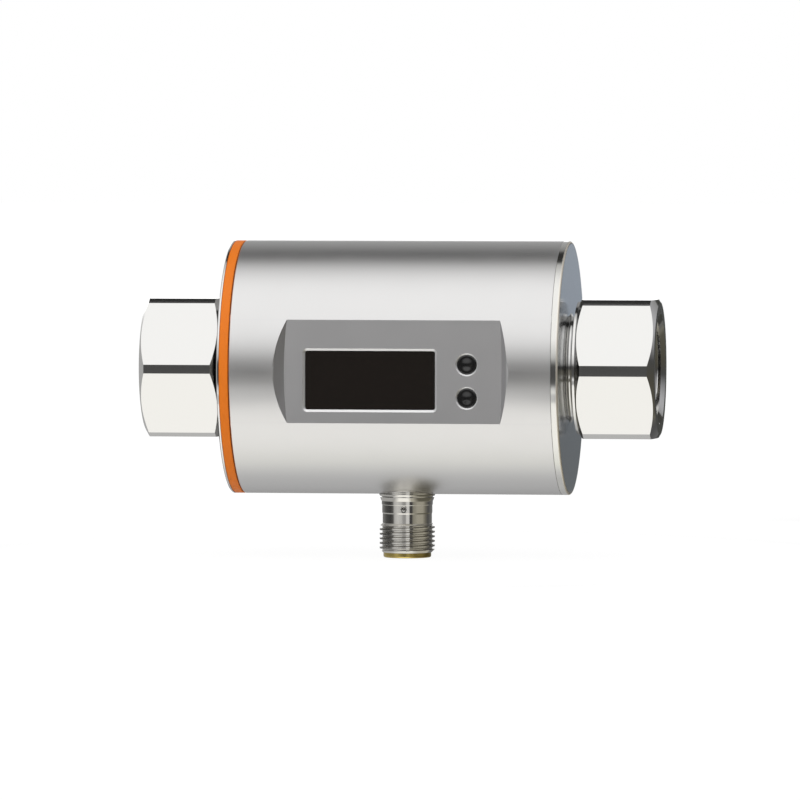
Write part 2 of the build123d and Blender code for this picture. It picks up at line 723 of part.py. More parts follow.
def make_display_carrier():
    """Moulded carrier that fits the inside of the housing and holds window, keys and module."""
    outline = Pos(FLAT_X, 0) * RectangleRounded(CARRIER_LENGTH, CARRIER_HEIGHT, BOARD_CORNER)
    carrier = plate_y(outline, -outer_radius, display_board_y - SEAM)
    carrier &= rod_x(-HOUSING_LENGTH, HOUSING_LENGTH, inner_radius - SLIDE_FIT)
    carrier -= plate_y(window_outline(LENS_MARGIN + RUNNING_FIT), -outer_radius, lens_back_y + SEAM / 2)
    cavity = Rectangle(MODULE_LENGTH + 2 * BOARD_FIT, MODULE_HEIGHT + 2 * BOARD_FIT)
    carrier -= plate_y(Pos(WINDOW_X, WINDOW_Z) * cavity, -outer_radius, 0)
    for x, z in button_places():
        carrier -= rod_y(-outer_radius, guide_lip_y, BUTTON_FLANGE_DIAMETER / 2 + RUNNING_FIT, x, z)
        carrier -= rod_y(-outer_radius, 0, BUTTON_STEM_DIAMETER / 2 + RUNNING_FIT, x, z)
        seat = Rectangle(SWITCH_SIZE + 2 * BOARD_FIT, SWITCH_SIZE + 2 * BOARD_FIT)
        carrier -= plate_y(Pos(x, z) * seat, guide_lip_y + GUIDE_LIP, 0)
    for x, z in display_screw_places():
        hole_end = display_board_y - BOARD_SCREW_GRIP - SCREW_TIP_ROOM
        carrier -= rod_y(hole_end, display_board_y, board_screw_radius + SLIDE_FIT, x, z)
    return carrier


def make_display_module():
    """Display block behind the window, with a rounded front edge."""
    front = lens_back_y + SEAM
    outline = Pos(WINDOW_X, WINDOW_Z) * RectangleRounded(MODULE_LENGTH, MODULE_HEIGHT, WINDOW_CORNER)
    return plate_y(outline, front, front + MODULE_THICKNESS)


def make_display_board():
    """Circuit board behind the carrier."""
    outline = Pos(FLAT_X, 0) * RectangleRounded(CARRIER_LENGTH, DISPLAY_BOARD_HEIGHT, BOARD_CORNER)
    board = plate_y(outline, display_board_y, display_board_back)
    for x, z in display_screw_places():
        board -= rod_y(display_board_y, display_board_back, board_screw_radius + SLIDE_FIT, x, z)
    return board


def board_screw(seat_y, reach, place):
    """Pan-head screw that points along -Y from its seat."""
    head = BOARD_SCREW_HEAD_DIAMETER / 2
    return turned_y([
        (0, seat_y - reach),
        (board_screw_radius, seat_y - reach),
        (board_screw_radius, seat_y + SEAM),
        (head, seat_y + SEAM),
        (head, seat_y + BOARD_SCREW_HEAD_HEIGHT - EDGE_BREAK),
        (head - EDGE_BREAK, seat_y + BOARD_SCREW_HEAD_HEIGHT),
        (0, seat_y + BOARD_SCREW_HEAD_HEIGHT),
    ], place[0], place[1])


def make_display_board_screws():
    """Screws through the display board into the carrier."""
    reach = BOARD_THICKNESS + BOARD_SCREW_GRIP
    screws = [board_screw(display_board_back, reach, place) for place in display_screw_places()]
    return Compound(children=screws)


def make_key_switches():
    """Switch housing under each button, open for its plunger."""
    switches = []
    for x, z in button_places():
        outline = Pos(x, z) * Rectangle(SWITCH_SIZE, SWITCH_SIZE)
        body = plate_y(outline, switch_top_y, display_board_y - SEAM)
        body = chamfer(body.edges().group_by(Axis.Y)[0], SWITCH_BEVEL)
        bore = rod_y(switch_top_y, display_board_y - SWITCH_FLOOR, PLUNGER_DIAMETER / 2 + RUNNING_FIT, x, z)
        switches.append(body - bore)
    return Compound(children=switches)


def make_switch_plunger(place):
    """Plunger of a switch, carried inward by its button."""
    foot_y = display_board_y - SWITCH_FLOOR - BUTTON_TRAVEL - STOP_GAP
    return rod_y(guide_lip_y, foot_y, PLUNGER_DIAMETER / 2, place[0], place[1])


def make_button(place):
    """Domed button with a groove for its O-ring, a flange behind the wall and a stem."""
    crest = flat_y + BUTTON_SINK
    rim = crest + BUTTON_DOME
    groove = button_radius - BUTTON_O_RING_SECTION + SEAM
    groove_end = button_groove_y + BUTTON_O_RING_SECTION + 2 * SEAM
    flange = BUTTON_FLANGE_DIAMETER / 2
    stem_end = guide_lip_y - SEAM
    dome_radius = (button_radius**2 + BUTTON_DOME**2) / (2 * BUTTON_DOME)
    half = button_radius / 2
    half_y = crest + dome_radius - math.sqrt(dome_radius**2 - half**2)
    dome = ThreePointArc((0, crest), (half, half_y), (button_radius, rim))
    sides = Polyline(
        (button_radius, rim),
        (button_radius, button_groove_y),
        (groove, button_groove_y),
        (groove, groove_end),
        (button_radius, groove_end),
        (button_radius, panel_y),
        (flange, panel_y),
        (flange, flange_back_y),
        (BUTTON_STEM_DIAMETER / 2, flange_back_y),
        (BUTTON_STEM_DIAMETER / 2, stem_end),
        (0, stem_end),
        (0, crest),
    )
    return Pos(place[0], 0, place[1]) * revolve(make_face([dome, *sides.edges()]), Axis.Y, 360)


def make_button_o_ring(place):
    """O-ring in the groove of a button."""
    section = BUTTON_O_RING_SECTION / 2
    major = button_radius + SEAM - section
    centre_y = button_groove_y + SEAM + section
    return Pos(place[0], centre_y, place[1]) * Rot(90, 0, 0) * Torus(major, section)


def make_main_board():
    """Main circuit board behind the yoke, with its screw holes."""
    length = main_board_right - main_board_left
    middle = (main_board_left + main_board_right) / 2
    outline = Pos(middle, 0) * RectangleRounded(length, MAIN_BOARD_HEIGHT, BOARD_CORNER)
    board = plate_y(outline, main_board_y, main_board_back)
    for x, z in spacer_places():
        board -= rod_y(main_board_y, main_board_back, board_screw_radius + SLIDE_FIT, x, z)
    return board


def make_board_spacers():
    """Spacers between the yoke and the main board."""
    bore = board_screw_radius + SLIDE_FIT
    spacers = [
        ring_y(yoke_outer_y + SEAM, main_board_y - SEAM, bore, SPACER_DIAMETER / 2, x, z)
        for x, z in spacer_places()
    ]
    return Compound(children=spacers)


def make_main_board_screws():
    """Screws through board and spacer into the yoke."""
    reach = main_board_back - yoke_outer_y + YOKE_THREAD_GRIP
    return Compound(children=[board_screw(main_board_back, reach, place) for place in spacer_places()])


def make_board_components():
    """Packages on the back of the main board: processor, converter, driver, regulator, crystal, coil."""
    seat = main_board_back + SEAM
    packages = (
        (0, 0, PROCESSOR_SIDE, PACKAGE_HEIGHT),
        (-2, 1 / 3, CONVERTER_SIDE, PACKAGE_HEIGHT),
        (2, -1 / 6, DRIVER_SIDE, PACKAGE_HEIGHT),
        (10 / 3, 1 / 3, REGULATOR_SIDE, PACKAGE_HEIGHT),
        (-10 / 3, -1 / 2, CRYSTAL_SIDE, PACKAGE_HEIGHT),
        (-10 / 3, 2 / 3, CHOKE_SIDE, CHOKE_HEIGHT),
    )
    parts = []
    for column, row, side, height in packages:
        outline = Pos(column * PACKAGE_PITCH, row * PACKAGE_PITCH) * Rectangle(side, side)
        body = plate_y(outline, seat, seat + height)
        parts.append(chamfer(body.edges().group_by(Axis.Y)[-1], EDGE_BREAK))
    return Compound(children=parts)


def ribbon(points, x, width):
    """Flat flexible lead of that width, bent along points given in Y and Z."""
    strip = trace(FilletPolyline(*points, radius=RIBBON_BEND), RIBBON_THICKNESS)
    return Pos(x - width / 2, 0, 0) * extrude(Plane.YZ * strip, amount=width)


def make_display_ribbon():
    """Ribbon from the display board over the top to the main board."""
    shoulder_y = inner_radius / 3
    shoulder_z = chord_distance(ribbon_reach, shoulder_y)
    points = (
        (display_ribbon_y, RIBBON_LAND_Z),
        (display_ribbon_y, chord_distance(ribbon_reach, display_ribbon_y)),
        (-shoulder_y, shoulder_z),
        (shoulder_y, shoulder_z),
        (main_ribbon_y, chord_distance(ribbon_reach, main_ribbon_y)),
        (main_ribbon_y, RIBBON_LAND_Z),
    )
    return ribbon(points, DISPLAY_RIBBON_X, DISPLAY_RIBBON_WIDTH)


def make_plug_ribbon():
    """Ribbon from the plug contacts up to the main board, with a hole for each contact."""
    bend_y = chord_distance(ribbon_reach, plug_ribbon_z)
    points = (
        (-CARRIER_FLANGE_DIAMETER / 2, plug_ribbon_z),
        (bend_y, plug_ribbon_z),
        (main_ribbon_y, -chord_distance(ribbon_reach, main_ribbon_y)),
        (main_ribbon_y, -RIBBON_LAND_Z),
    )
    strip = ribbon(points, PLUG_X, PLUG_RIBBON_WIDTH)
    hole = PIN_DIAMETER / 2 + SLIDE_FIT
    for place in pin_places():
        strip -= Pos(*place) * rod_z(plug_ribbon_z - RIBBON_THICKNESS, plug_ribbon_z + RIBBON_THICKNESS, hole)
    return strip


def lead(points):
    """Round insulated lead along points, with a tangent bend at each."""
    route = FilletPolyline(*points, radius=LEAD_BEND) if len(points) > 2 else Line(*points)
    section = Plane(origin=route @ 0, z_dir=route % 0) * Circle(LEAD_DIAMETER / 2)
    return sweep(section, path=route)


def make_electrode_leads():
    """Leads from the electrodes: the rear one straight, the front one round the pipe."""
    start_y = electrode_tip + SEAM
    end_y = main_board_y - SEAM
    front_y = -(yoke_inner_y + yoke_outer_y) / 2
    front = lead([
        (0, -start_y, 0),
        (0, front_y, 0),
        (FRONT_LEAD_X, front_y, 0),
        (FRONT_LEAD_X, front_y, FRONT_LEAD_Z),
        (FRONT_LEAD_X, end_y, FRONT_LEAD_Z),
    ])
    return Compound(children=[front, lead([(0, start_y, 0), (0, end_y, 0)])])


def make_coil_leads():
    """Lead from each coil to the main board."""
    coil_z = (coil_bottom + coil_top) / 2
    upper = lead([
        (coil_radius + SEAM, 0, coil_z),
        (COIL_LEAD_X, 0, coil_z),
        (COIL_LEAD_X, coil_z - COIL_LEAD_Z, COIL_LEAD_Z),
        (COIL_LEAD_X, main_board_y - SEAM, COIL_LEAD_Z),
    ])
    return Compound(children=[upper, below(upper)])


def make_probe_lead():
    """Straight lead from the temperature probe to the main board."""
    tip = spot_y + PROBE_COLLAR_THICKNESS + PROBE_TAIL + SEAM
    return lead([(PROBE_X, tip, 0), (PROBE_X, main_board_y - SEAM, 0)])


def make_plug_shell():
    """Turned shell: saddle on the housing, flare, body, relief, thread and inner bore."""
    collar = PLUG_COLLAR_DIAMETER / 2
    body = PLUG_BODY_DIAMETER / 2
    relief = PLUG_RELIEF_DIAMETER / 2
    thread = PLUG_THREAD_DIAMETER / 2
    end = PLUG_END_DIAMETER / 2
    middle = ((collar + body) / 2 - FLARE_SAG, (flare_top_z + flare_end_z) / 2)
    flare = ThreePointArc((collar, flare_top_z), middle, (body, flare_end_z))
    lower = Polyline(
        (body, flare_end_z),
        (body, body_end_z + EDGE_BREAK / 2),
        (relief, body_end_z),
        (relief, plug_thread_z + (thread - relief)),
        (thread, plug_thread_z),
        (thread, shell_end_z + (thread - end)),
        (end, shell_end_z),
        (plug_bore_radius, shell_end_z),
        (plug_bore_radius, stem_top_z),
        (stem_radius, stem_top_z),
    )
    upper = Polyline((stem_radius, stem_top_z), (stem_radius, -inner_radius), (collar, -inner_radius))
    wall = Line((collar, -inner_radius), (collar, flare_top_z))
    face = Plane.XZ * make_face([flare, *lower.edges(), *upper.edges(), wall])
    shell = Pos(PLUG_X, 0, 0) * revolve(face, Axis.Z, 360)
    saddle = rod_x(-HOUSING_LENGTH, HOUSING_LENGTH, outer_radius + SEAM)
    saddle -= rod_z(-2 * outer_radius, 0, stem_radius, PLUG_X)
    return shell - saddle


def make_contact_sleeve():
    """Brass sleeve in the shell, with the lip that shows at the end and the coding key."""
    inner = SLEEVE_BORE / 2
    outer = carrier_radius
    lip = SLEEVE_DIAMETER / 2
    lip_top = shell_end_z - SEAM
    profile = make_face(Plane.XZ * Polyline(
        (inner, sleeve_top_z),
        (outer, sleeve_top_z),
        (outer, lip_top),
        (lip, lip_top),
        (lip, sleeve_end_z),
        (inner, sleeve_end_z),
        close=True,
    ))
    corner = profile.vertices().sort_by_distance((lip, 0, sleeve_end_z))[0]
    sleeve = revolve(fillet(corner, SLEEVE_EDGE_RADIUS), Axis.Z, 360)
    length = shell_end_z - recess_floor_z
    key = Pos(inner, 0, recess_floor_z + length / 2) * Box(2 * KEY_HEIGHT, KEY_WIDTH, abs(length))
    return Pos(PLUG_X, 0, 0) * (sleeve + Rot(0, 0, 45) * key)


def pin_places():
    """Places of the contacts on their circle."""
    step = 360 / PIN_COUNT
    radius = PIN_CIRCLE / 2
    angles = [math.radians(i * step) for i in range(PIN_COUNT)]
    return [(PLUG_X + radius * math.cos(a), radius * math.sin(a), 0) for a in angles]


def make_contact_carrier():
    """Insulating carrier of the contacts, with the groove for its O-ring."""
    nose = SLEEVE_BORE / 2 - SLIDE_FIT
    groove = plug_bore_radius - PLUG_O_RING_SECTION
    half = PLUG_O_RING_SECTION / 2 + SLIDE_FIT
    carrier = turned_z([
        (0, recess_floor_z),
        (nose, recess_floor_z),
        (nose, sleeve_top_z + SEAM),
        (carrier_radius, sleeve_top_z + SEAM),
        (carrier_radius, plug_o_ring_z - half),
        (groove, plug_o_ring_z - half),
        (groove, plug_o_ring_z + half),
        (carrier_radius, plug_o_ring_z + half),
        (carrier_radius, stem_top_z + SEAM),
        (CARRIER_FLANGE_DIAMETER / 2, stem_top_z + SEAM),
        (CARRIER_FLANGE_DIAMETER / 2, carrier_top_z),
        (0, carrier_top_z),
    ], PLUG_X)
    for place in pin_places():
        carrier -= Pos(*place) * rod_z(recess_floor_z, carrier_top_z, PIN_DIAMETER / 2 + SLIDE_FIT)
    return carrier


def make_plug_o_ring():
    """O-ring between carrier and shell."""
    section = PLUG_O_RING_SECTION / 2 - SEAM / 2
    return Pos(PLUG_X, 0, plug_o_ring_z) * Torus(plug_bore_radius - PLUG_O_RING_SECTION / 2, section)


def make_contact_pins():
    """Contact pins with chamfered tips."""
    radius = PIN_DIAMETER / 2
    tip = sleeve_end_z + PIN_SINK
    pin = turned_z([
        (0, tip),
        (radius - PIN_TIP_CHAMFER, tip),
        (radius, tip + PIN_TIP_CHAMFER),
        (radius, carrier_top_z + PIN_TAIL),
        (0, carrier_top_z + PIN_TAIL),
    ])
    return Compound(children=[Pos(*place) * pin for place in pin_places()])


upper_place, lower_place = button_places()
nodes = {
    "housing_tube": make_housing_tube(),
    "inlet_end_cap": make_inlet_end_cap(),
    "inlet_ring": make_inlet_ring(),
    "outlet_end_plate": make_outlet_end_plate(),
    "inlet_fitting": make_inlet_fitting(),
    "outlet_fitting": make_outlet_fitting(),
    "measuring_pipe": make_measuring_pipe(),
    "pipe_o_rings": make_pipe_o_rings(),
    "measuring_electrodes": make_measuring_electrodes(),
    "electrode_seals": make_electrode_seals(),
    "electrode_washers": make_electrode_washers(),
    "electrode_nuts": make_electrode_nuts(),
    "temperature_probe": make_temperature_probe(),
    "upper_pole_shoe": make_upper_pole_shoe(),
    "lower_pole_shoe": below(make_upper_pole_shoe()),
    "upper_coil_former": make_upper_coil_former(),
    "lower_coil_former": below(make_upper_coil_former()),
    "upper_field_coil": make_upper_field_coil(),
    "lower_field_coil": below(make_upper_field_coil()),
    "return_yoke": make_return_yoke(),
    "yoke_screws": make_yoke_screws(),
    "display_window": make_display_window(),
    "window_gasket": make_window_gasket(),
    "display_carrier": make_display_carrier(),
    "display_module": make_display_module(),
    "display_board": make_display_board(),
    "display_board_screws": make_display_board_screws(),
    "key_switches": make_key_switches(),
    "upper_button": make_button(upper_place),
    "upper_button_o_ring": make_button_o_ring(upper_place),
    "upper_switch_plunger": make_switch_plunger(upper_place),
    "lower_button": make_button(lower_place),
    "lower_button_o_ring": make_button_o_ring(lower_place),
    "lower_switch_plunger": make_switch_plunger(lower_place),
    "main_board": make_main_board(),
    "board_spacers": make_board_spacers(),
    "main_board_screws": make_main_board_screws(),
    "board_components": make_board_components(),
    "display_ribbon": make_display_ribbon(),
    "plug_ribbon": make_plug_ribbon(),
    "electrode_leads": make_electrode_leads(),
    "coil_leads": make_coil_leads(),
    "probe_lead": make_probe_lead(),
    "plug_shell": make_plug_shell(),
    "contact_sleeve": make_contact_sleeve(),
    "contact_carrier": make_contact_carrier(),
    "plug_o_ring": make_plug_o_ring(),
    "contact_pins": make_contact_pins(),
}

os.makedirs("parts", exist_ok=True)
for name, part in nodes.items():
    export_step(part, f"parts/{name}.step")
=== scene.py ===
import bmesh
import bpy
import json
import math
from mathutils import Matrix, Vector

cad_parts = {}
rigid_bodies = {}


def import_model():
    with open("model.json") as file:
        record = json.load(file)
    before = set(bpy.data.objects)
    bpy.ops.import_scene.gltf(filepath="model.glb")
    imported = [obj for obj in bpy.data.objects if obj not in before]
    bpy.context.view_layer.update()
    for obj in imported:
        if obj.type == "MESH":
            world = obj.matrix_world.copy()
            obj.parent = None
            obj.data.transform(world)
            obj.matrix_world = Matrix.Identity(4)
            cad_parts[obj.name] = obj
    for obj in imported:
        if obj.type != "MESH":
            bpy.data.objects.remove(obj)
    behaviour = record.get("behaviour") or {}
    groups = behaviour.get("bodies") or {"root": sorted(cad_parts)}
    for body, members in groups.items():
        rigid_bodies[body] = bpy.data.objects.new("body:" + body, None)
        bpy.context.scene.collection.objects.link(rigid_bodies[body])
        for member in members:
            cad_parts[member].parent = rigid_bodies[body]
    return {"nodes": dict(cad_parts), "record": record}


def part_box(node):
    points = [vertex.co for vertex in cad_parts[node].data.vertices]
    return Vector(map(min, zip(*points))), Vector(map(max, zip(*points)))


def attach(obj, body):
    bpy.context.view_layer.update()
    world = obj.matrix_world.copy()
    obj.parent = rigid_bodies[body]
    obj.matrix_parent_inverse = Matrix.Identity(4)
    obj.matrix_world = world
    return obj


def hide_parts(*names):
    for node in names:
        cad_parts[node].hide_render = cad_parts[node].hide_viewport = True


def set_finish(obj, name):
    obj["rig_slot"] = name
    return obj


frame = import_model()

bl_info = {
    "name": "Magnetic flow sensor looks",
    "version": (1, 0, 0),
    "blender": (4, 5, 0),
    "location": "3D View > Sidebar > Flow sensor",
    "description": "Adds threads, finishes and the studio to the packed flow sensor",
    "category": "Object",
}

MM = 0.001
# Points of a mesh that are closer than this, in metres, become one point.
MERGE_DISTANCE = 2e-6
AXES = (Vector((1, 0, 0)), Vector((0, 1, 0)), Vector((0, 0, 1)))
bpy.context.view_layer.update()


# Settings
class FlowSensorSettings(bpy.types.PropertyGroup):
    plug_x: bpy.props.FloatProperty(
        name="Plug X", description="Where the plug axis lies along the flow",
        default=0.0008, unit="LENGTH")
    plug_pitch: bpy.props.FloatProperty(
        name="Plug pitch", description="Pitch of the plug thread", default=0.001, unit="LENGTH")
    plug_thread_top: bpy.props.FloatProperty(
        name="Plug thread start", description="Height at which the plug thread starts",
        default=-0.0338, unit="LENGTH")
    plug_thread_end: bpy.props.FloatProperty(
        name="Plug thread end", description="Height at which the plug thread ends",
        default=-0.0402, unit="LENGTH")
    pipe_pitch: bpy.props.FloatProperty(
        name="Pipe pitch", description="Pitch of the pipe thread", default=0.001814, unit="LENGTH")
    pipe_minor: bpy.props.FloatProperty(
        name="Pipe minor radius", description="Radius over the crests of the pipe thread",
        default=0.00932, unit="LENGTH")
    pipe_major: bpy.props.FloatProperty(
        name="Pipe major radius", description="Radius of the bore that carries the pipe thread",
        default=0.01047, unit="LENGTH")
    pipe_start: bpy.props.FloatProperty(
        name="Pipe thread start", description="Distance of the first turn from the middle",
        default=0.0545, unit="LENGTH")
    pipe_end: bpy.props.FloatProperty(
        name="Pipe thread end", description="Distance of the last turn from the middle",
        default=0.0425, unit="LENGTH")
    neck_radius: bpy.props.FloatProperty(
        name="Neck radius", description="Radius of the neck between end face and hexagon",
        default=0.0112, unit="LENGTH")
    washer_face: bpy.props.FloatProperty(
        name="Washer face", description="Distance of the washer face of a hexagon from the middle",
        default=0.03825, unit="LENGTH")
    flat_y: bpy.props.FloatProperty(
        name="Flat depth", description="Depth coordinate of the milled display flat",
        default=-0.0251607, unit="LENGTH")
    button_radius: bpy.props.FloatProperty(
        name="Button radius", description="Radius of a push button", default=0.0021, unit="LENGTH")
    floor_z: bpy.props.FloatProperty(
        name="Floor height", description="Height of the floor under the flow axis",
        default=-0.0415, unit="LENGTH")
    camera_distance: bpy.props.FloatProperty(
        name="Camera distance", description="Distance of the camera from the sensor",
        default=1.8, min=0.5, unit="LENGTH")
    camera_azimuth: bpy.props.FloatProperty(
        name="Camera azimuth", description="Turn of the camera to the right of the display",
        default=math.radians(7.3), subtype="ANGLE")
    camera_elevation: bpy.props.FloatProperty(
        name="Camera elevation", description="Height of the camera over the flow axis as an angle",
        default=math.radians(2.45), subtype="ANGLE")
    aim_left: bpy.props.FloatProperty(
        name="Aim left", description="How far left of the middle the camera aims",
        default=0.0008, unit="LENGTH")
    aim_below: bpy.props.FloatProperty(
        name="Aim below", description="How far under the flow axis the camera aims",
        default=0.0071, unit="LENGTH")
    pixels_per_metre: bpy.props.FloatProperty(
        name="Image scale", description="Image pixels for each metre at the flow axis", default=4600.0)
    image_width: bpy.props.IntProperty(
        name="Image width", description="Width of the image in pixels", default=800, subtype="PIXEL")


# Shader helpers
GRAIN_DEPTH = 0.000004
POLISH_DEPTH = 0.000001
RELIEF_STRENGTH = 0.3
# Most of a noise lies between these values.
NOISE_LOW, NOISE_HIGH = 0.3, 0.7


def new_node(tree, kind, **values):
    """A new node with its properties set."""
    node = tree.nodes.new(kind)
    for key, value in values.items():
        setattr(node, key, value)
    return node


def put(tree, target, value):
    """Sets a socket to a number or colour, or links it to another socket."""
    if isinstance(value, bpy.types.NodeSocket):
        tree.links.new(value, target)
    else:
        target.default_value = value


def math_node(tree, operation, *values):
    """Result of a calculation with numbers or sockets."""
    node = new_node(tree, "ShaderNodeMath", operation=operation)
    for i, value in enumerate(values):
        put(tree, node.inputs[i], value)
    return node.outputs[0]


def noise(tree, vector, scale, detail=2.0, roughness=0.5):
    """Noise over three coordinates."""
    node = new_node(tree, "ShaderNodeTexNoise", noise_dimensions="3D")
    put(tree, node.inputs["Vector"], vector)
    put(tree, node.inputs["Scale"], scale)
    put(tree, node.inputs["Detail"], detail)
    put(tree, node.inputs["Roughness"], roughness)
    return node.outputs["Fac"]


def ramp_range(tree, value, low, high, out_low, out_high):
    """A value mapped from one range to another and held at its ends."""
    node = new_node(tree, "ShaderNodeMapRange", clamp=True)
    put(tree, node.inputs["Value"], value)
    put(tree, node.inputs["From Min"], low)
    put(tree, node.inputs["From Max"], high)
    put(tree, node.inputs["To Min"], out_low)
    put(tree, node.inputs["To Max"], out_high)
    return node.outputs["Result"]


def mix_colour(tree, factor, first, second):
    """Mix of two colours: the first at factor 0, the second at factor 1."""
    node = new_node(tree, "ShaderNodeMix", data_type="RGBA")
    put(tree, node.inputs["Factor"], factor)
    put(tree, node.inputs[6], first)
    put(tree, node.inputs[7], second)
    return node.outputs[2]


def new_group(name, inputs, outputs):
    """An empty node group with its sockets, and its input and output nodes."""
    group = bpy.data.node_groups.new(name, "ShaderNodeTree")
    for socket, kind, default in inputs:
        item = group.interface.new_socket(socket, in_out="INPUT", socket_type=kind)
        if default is not None:
            item.default_value = default
    for socket, kind in outputs:
        group.interface.new_socket(socket, in_out="OUTPUT", socket_type=kind)
    return group, group.nodes.new("NodeGroupInput"), group.nodes.new("NodeGroupOutput")


def fine_grain_group():
    """Fine blasted or moulded grain: a height and a roughness that vary over the surface."""
    group, given, result = new_group(
        "fine_grain",
        [("Vector", "NodeSocketVector", None), ("Scale", "NodeSocketFloat", 6000.0),
         ("Low", "NodeSocketFloat", 0.3), ("High", "NodeSocketFloat", 0.4)],
        [("Height", "NodeSocketFloat"), ("Roughness", "NodeSocketFloat")])
    fine = noise(group, given.outputs["Vector"], given.outputs["Scale"], 3.0, 0.6)
    broad = noise(group, given.outputs["Vector"], 160.0, 2.0, 0.5)
    both = math_node(group, "MULTIPLY_ADD", fine, 0.6, math_node(group, "MULTIPLY", broad, 0.4))
    rough = ramp_range(group, both, NOISE_LOW, NOISE_HIGH, given.outputs["Low"], given.outputs["High"])
    group.links.new(fine, result.inputs["Height"])
    group.links.new(rough, result.inputs["Roughness"])
    return group


def tool_lines_group():
    """Lines that a turning tool leaves: they change only along the given axis coordinate."""
    group, given, result = new_group(
        "tool_lines",
        [("Along", "NodeSocketFloat", 0.0), ("Scale", "NodeSocketFloat", 9000.0),
         ("Low", "NodeSocketFloat", 0.1), ("High", "NodeSocketFloat", 0.2)],
        [("Height", "NodeSocketFloat"), ("Roughness", "NodeSocketFloat")])
    line = new_node(group, "ShaderNodeTexNoise", noise_dimensions="1D")
    place = math_node(group, "MULTIPLY", given.outputs["Along"], given.outputs["Scale"])
    put(group, line.inputs["W"], place)
    put(group, line.inputs["Scale"], 1.0)
    put(group, line.inputs["Detail"], 3.0)
    fine = line.outputs["Fac"]
    rough = ramp_range(group, fine, NOISE_LOW, NOISE_HIGH, given.outputs["Low"], given.outputs["High"])
    group.links.new(fine, result.inputs["Height"])
    group.links.new(rough, result.inputs["Roughness"])
    return group


class Finish:
    """A material under construction: one Principled shader with its coordinate sockets."""

    def __init__(self, name):
        self.material = bpy.data.materials.new(name)
        self.material.use_nodes = True
        self.tree = self.material.node_tree
        self.shader = self.tree.nodes["Principled BSDF"]
        coordinates = new_node(self.tree, "ShaderNodeTexCoord")
        self.place = coordinates.outputs["Object"]
        split = new_node(self.tree, "ShaderNodeSeparateXYZ")
        self.tree.links.new(self.place, split.inputs[0])
        self.x, self.y, self.z = split.outputs[0], split.outputs[1], split.outputs[2]

    def set(self, **values):
        """Sets inputs of the shader; an underscore stands for a space in a name."""
        for name, value in values.items():
            put(self.tree, self.shader.inputs[name.replace("_", " ")], value)
        return self

    def group(self, name, **values):
        """Places a shared node group with its own values."""
        node = new_node(self.tree, "ShaderNodeGroup", node_tree=bpy.data.node_groups[name])
        for socket, value in values.items():
            put(self.tree, node.inputs[socket], value)
        return node

    def bump(self, height, distance, strength):
        """Normal of a fine relief."""
        node = new_node(self.tree, "ShaderNodeBump")
        put(self.tree, node.inputs["Height"], height)
        node.inputs["Distance"].default_value = distance
        node.inputs["Strength"].default_value = strength
        return node.outputs["Normal"]


def grained(name, colour, metallic, low, high, scale=6000.0, depth=GRAIN_DEPTH,
            strength=RELIEF_STRENGTH, **more):
    """A finish with the fine grain."""
    finish = Finish(name)
    grain = finish.group("fine_grain", Vector=finish.place, Scale=scale, Low=low, High=high)
    finish.set(Base_Color=(*colour, 1), Metallic=metallic, Roughness=grain.outputs["Roughness"],
               Normal=finish.bump(grain.outputs["Height"], depth, strength), **more)
    return finish


def turned(name, colour, metallic, along, low, high, scale=9000.0, depth=GRAIN_DEPTH,
           strength=RELIEF_STRENGTH, **more):
    """A finish with turning lines along one axis: 0 for X, 1 for Y, 2 for Z."""
    finish = Finish(name)
    coordinate = (finish.x, finish.y, finish.z)[along]
    lines = finish.group("tool_lines", Along=coordinate, Scale=scale, Low=low, High=high)
    finish.set(Base_Color=(*colour, 1), Metallic=metallic, Roughness=lines.outputs["Roughness"],
               Normal=finish.bump(lines.outputs["Height"], depth, strength), **more)
    return finish


# Mesh helpers
THREAD_STEPS = 16
AROUND = 144
THREAD_ROOT_SHARE = 0.3
THREAD_FLANK_SHARE = 0.3
LEAD_IN_TURNS = 1.25
# Edges sharper than these angles in degrees stay sharp.
SMOOTH_ANGLE = 35.0
CRISP_ANGLE = 15.0
ROUND_ANGLE = 40.0
# Outline of the plug over its thread in millimetres, as (radius, height) measured from the plug axis.
PLUG_BODY_FOOT = ((5.36, -31.76), (5.46, -31.5))
PLUG_SHOULDER = ((5.46, -29.87), (5.56, -29.75), (5.56, -29.0))
PLUG_LOWER_BEAD = ((5.9, -28.16), (5.62, -28.95))
PLUG_GROOVE = ((5.62, -28.14), (5.62, -27.92))
PLUG_UPPER_BEAD = ((6.1, -27.5), (5.95, -27.9))
PLUG_COLLAR = ((5.95, -27.46), (5.95, -27.2), (6.15, -27.12))
# Punched mark on the body of the plug, measured from the plug axis.
MARK_PLACE = Vector((-0.1, -5.4, -30.5)) * MM
MARK_RADIUS = 0.52 * MM
MARK_DEPTH = 0.25 * MM
MARK_ROWS = 6


def new_piece(name, bm, smooth_angle=SMOOTH_ANGLE):
    """A piece from a bmesh, with its faces outward and smooth up to an angle in degrees."""
    bmesh.ops.remove_doubles(bm, verts=bm.verts, dist=MERGE_DISTANCE)
    bmesh.ops.recalc_face_normals(bm, faces=bm.faces)
    mesh = bpy.data.meshes.new(name)
    bm.to_mesh(mesh)
    bm.free()
    obj = bpy.data.objects.new(name, mesh)
    bpy.context.scene.collection.objects.link(obj)
    mesh.shade_smooth()
    mesh.set_sharp_from_angle(angle=math.radians(smooth_angle))
    return obj


def thread_form(phase):
    """Height of a thread between root 0 and crest 1 at a phase of 0 to 1, with flats at both."""
    distance = abs(phase - math.floor(phase) - 0.5) * 2
    return min(1.0, max(0.0, (1.0 - distance - THREAD_ROOT_SHARE) / THREAD_FLANK_SHARE))


